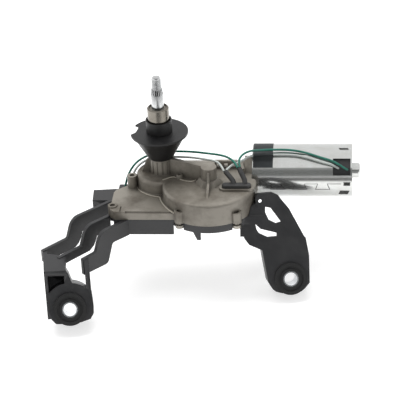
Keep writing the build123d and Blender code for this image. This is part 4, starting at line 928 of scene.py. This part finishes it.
# The joint's two levels in degrees, its tongues as x of the neck and of the wider end, and its ends
SEAM_LEVEL = -0.8
TONGUE_LEVEL = -15.4
TONGUES = (
    ((94.0, 101.0), (92.6, 104.6)), ((113.4, 121.0), (111.4, 123.1)), ((132.4, 140.4), (130.4, 142.6)),
)
SEAM_ENDS = (79.5, 151.8)
# A line on the casing turns in steps of this many degrees, and its middle lies this far under the surface
LINE_STEP = 3
LINE_SINK = 0.1
# Openings near the casing's end, drawn as dark patches that paint the shade inside them: low and high x,
# degrees at the upper and the lower side, slant along x
SLOTS = (
    ("slot_top", 150.2, 158.4, 84.5, 77.5, -0.6), ("slot_middle", 154.0, 159.8, 3.4, -5.6, 0.0),
    ("slot_low", 150.2, 158.6, -18.6, -33.0, 0.8),
)
SLOT_LIFT = 0.04
# Radius of an opening's bright edge as a share of the joint line's
SLOT_EDGE = 0.9


def casing_line(name, rows, radius, finish, cyclic=False):
    """A thin round line on the casing through x and degrees."""
    places = []
    for (x0, a0), (x1, a1) in zip(rows, rows[1:]):
        steps = max(1, int(abs(a1 - a0) / LINE_STEP))
        places += [(x0 + (x1 - x0) * k / steps, a0 + (a1 - a0) * k / steps) for k in range(steps)]
    if not cyclic:
        places.append(rows[-1])
    points = [at(*on_yoke(x, degrees, -LINE_SINK)) for x, degrees in places]
    data, spline = round_curve(name, "POLY", points, radius, 2)
    spline.use_cyclic_u = cyclic
    data.use_fill_caps = not cyclic
    return curve_piece(name, data, finish, "motor_body")


class WIPER_OT_casing_joint(bpy.types.Operator):
    """Draw the dovetailed joint of the rolled casing, and its small openings as patches of painted shade"""
    bl_idname = "wiper.casing_joint"
    bl_label = "Casing joint"

    def execute(self, context):
        radius = context.scene.motor_finish.seam_radius
        path = [(SEAM_ENDS[0], SEAM_LEVEL)]
        for (neck_low, neck_high), (end_low, end_high) in TONGUES:
            path += [
                (neck_low, SEAM_LEVEL), (end_low, TONGUE_LEVEL),
                (end_high, TONGUE_LEVEL), (neck_high, SEAM_LEVEL),
            ]
        path += [(SEAM_ENDS[1], SEAM_LEVEL)]
        casing_line("casing_joint", path, radius, "dark_joint_and_shade")
        for name, x_low, x_high, top, bottom, slant in SLOTS:
            shape = bmesh.new()
            bmesh.ops.create_grid(shape, x_segments=2, y_segments=6, size=0.5)
            for vert in shape.verts:
                across, along = vert.co.y + 0.5, vert.co.x + 0.5
                x = x_low + (x_high - x_low) * along + slant * (across - 0.5) * 2
                vert.co = at(*on_yoke(x, bottom + (top - bottom) * across, SLOT_LIFT))
            # a dark patch on the casing paints the shade inside the opening
            finished_piece(name, shape, "dark_joint_and_shade", "motor_body", smooth_degrees=60)
            corners = [
                (x_low - slant, bottom), (x_high - slant, bottom),
                (x_high + slant, top), (x_low + slant, top),
            ]
            casing_line(
                name + "_edge", corners + corners[:1], radius * SLOT_EDGE, "yoke_steel",
                cyclic=True,
            )
        return {"FINISHED"}


# Beads and the small post that the casting carries

# Lines along the casting's edges, which carry a painted highlight
FOOT_BEAD = [
    (-21.3, -7.0, -49.9), (-18.4, -12.8, -49.9), (-14.0, -17.7, -49.9), (-8.2, -21.6, -49.9),
    (-2.1, -23.6, -49.9), (0.2, -24.4, -49.9), (1.4, -30.2, -49.9), (4.0, -36.5, -49.9), (7.4, -42.6, -49.9),
    (11.3, -47.8, -49.9), (14.4, -51.0, -49.9),
]
TRAY_BEAD = [
    (2.2, -16.3, -37.9), (6.3, -13.3, -37.9), (10.9, -10.2, -37.9), (16.0, -14.3, -37.9),
    (20.3, -17.3, -37.9), (26.3, -19.2, -37.9), (30.0, -17.3, -37.9), (31.6, -14.4, -37.9),
]
FOOT_BEAD_R, TRAY_BEAD_R = 0.55, 0.6
SMALL_POST_SPOT = (16.4, -12.2, 0.0)
SMALL_POST = [
    (0, 0, -38.6), (3.3, 0, -38.6), (2.7, 0, -34.8), (2.4, 0, -34.4), (1.3, 0, -34.4), (1.2, 0, -36.4),
    (0, 0, -36.4),
]


class WIPER_OT_beads(bpy.types.Operator):
    """Lay the casting's thin beads, pale as a painted edge highlight, and its small post with a hole"""
    bl_idname = "wiper.beads"
    bl_label = "Casting beads"

    def execute(self, context):
        for name, route, radius in (
            ("foot_bead", FOOT_BEAD, FOOT_BEAD_R), ("tray_bead", TRAY_BEAD, TRAY_BEAD_R),
        ):
            smooth_curve(name, route, radius * MM, "bead_zinc", "motor_body")
        post = spin_profile(SMALL_POST, 32)
        bmesh.ops.translate(post, verts=post.verts, vec=at(*SMALL_POST_SPOT))
        finished_piece("small_post", post, "cast_zinc", "motor_body")
        return {"FINISHED"}


# Bracket

ARM_NORMAL = Vector((1, -1, 0)).normalized()
ARM_ALONG = Vector((-1, -1, 0)).normalized()
# Where the ribs of the left arm are trimmed below: offset of the rib, then places along the arm and up
RIB_TRIMS = (
    (-19.0, [
        (66.0, -72.0), (72.6, -72.0), (75.2, -73.8), (77.1, -79.0), (79.6, -83.0), (83.5, -85.5),
        (90.0, -86.4), (90.0, -92.0), (66.0, -92.0),
    ]),
    (-0.7, [
        (56.0, -71.9), (62.0, -70.6), (73.1, -70.9), (75.4, -75.5), (77.3, -78.7), (81.9, -81.8),
        (103.0, -82.9), (109.0, -83.4), (109.0, -92.0), (56.0, -92.0),
    ]),
)
# Half the width of a trim across its rib
TRIM_REACH = 1.9
BRACKET_SHARP_DEGREES = 25


class WIPER_OT_bracket(bpy.types.Operator):
    """Trim the ribs of the bracket's left arm to the curves that they show from the front"""
    bl_idname = "wiper.bracket"
    bl_label = "Bracket"

    def execute(self, context):
        whole = bmesh.new()
        whole.from_mesh(frame["nodes"]["mounting_bracket"].data)
        bmesh.ops.remove_doubles(whole, verts=whole.verts, dist=MERGE_REACH)
        trims = bmesh.new()
        for offset, outline in RIB_TRIMS:
            near = ARM_NORMAL * (offset - TRIM_REACH)
            row = [trims.verts.new((near + ARM_ALONG * s + Vector((0, 0, z))) * MM) for s, z in outline]
            face = trims.faces.new(row)
            verts = verts_of(bmesh.ops.extrude_face_region(trims, geom=[face]))
            bmesh.ops.translate(trims, verts=verts, vec=ARM_NORMAL * 2 * TRIM_REACH * MM)
        bmesh.ops.recalc_face_normals(trims, faces=trims.faces)
        blanks = []
        for name, shape in (("untrimmed", whole), ("rib_trims", trims)):
            mesh = bpy.data.meshes.new(name)
            shape.to_mesh(mesh)
            shape.free()
            blanks.append(bpy.data.objects.new(name, mesh))
            context.collection.objects.link(blanks[-1])
        cut = blanks[0].modifiers.new("Rib trims", "BOOLEAN")
        cut.operation = "DIFFERENCE"
        cut.solver = "EXACT"
        cut.object = blanks[1]
        shape = finished_shape(context, blanks[0])
        for blank in blanks:
            bpy.data.objects.remove(blank)
        piece = finished_piece(
            "bracket_moulding", shape, "bracket_plastic", "motor_body",
            smooth_degrees=BRACKET_SHARP_DEGREES,
        )
        flat = piece.modifiers.new("Flat faces", "WEIGHTED_NORMAL")
        flat.keep_sharp = True
        flat.weight = 100
        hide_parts("mounting_bracket")
        return {"FINISHED"}


# Finishes on the solids


class WIPER_OT_finishes(bpy.types.Operator):
    """Give every solid its finish"""
    bl_idname = "wiper.finishes"
    bl_label = "Finishes"

    def execute(self, context):
        FINISHES.update(build_finishes(context))
        slots = {row["node"]: row["material_slot"] for row in frame["record"]["subparts"]}
        for node, solid in frame["nodes"].items():
            for number in range(len(solid.material_slots)):
                solid.material_slots[number].material = FINISHES[slots[node]]
        return {"FINISHED"}


class WIPER_PT_panel(bpy.types.Panel):
    """Lists the part's sizes, colours and pieces"""
    bl_label = "Wiper motor"
    bl_idname = "WIPER_PT_panel"
    bl_space_type = "VIEW_3D"
    bl_region_type = "UI"
    bl_category = "Wiper motor"

    def draw(self, context):
        for group in PROPERTY_GROUPS:
            box = self.layout.box()
            values = getattr(context.scene, group)
            for label in values.bl_rna.properties.keys():
                if label not in ("rna_type", "name"):
                    box.prop(values, label)
        for operator in OPERATORS:
            self.layout.operator(operator.bl_idname)


PROPERTY_GROUPS = {
    "casting_finish": CastingFinish, "motor_finish": MotorFinish, "spindle_finish": SpindleFinish,
    "lead_finish": LeadFinish, "stage_look": StageLook,
}
OPERATORS = [
    WIPER_OT_finishes, WIPER_OT_stage, WIPER_OT_leads, WIPER_OT_spindle, WIPER_OT_tape, WIPER_OT_casing_joint,
    WIPER_OT_beads, WIPER_OT_bracket,
]


def register():
    for name, group in PROPERTY_GROUPS.items():
        bpy.utils.register_class(group)
        setattr(bpy.types.Scene, name, PointerProperty(type=group))
    for operator in OPERATORS:
        bpy.utils.register_class(operator)
    bpy.utils.register_class(WIPER_PT_panel)


def unregister():
    bpy.utils.unregister_class(WIPER_PT_panel)
    for operator in reversed(OPERATORS):
        bpy.utils.unregister_class(operator)
    for name, group in PROPERTY_GROUPS.items():
        delattr(bpy.types.Scene, name)
        bpy.utils.unregister_class(group)


def main():
    register()
    for operator in OPERATORS:
        family, name = operator.bl_idname.split(".")
        getattr(getattr(bpy.ops, family), name)()


if __name__ == "__main__":
    main()
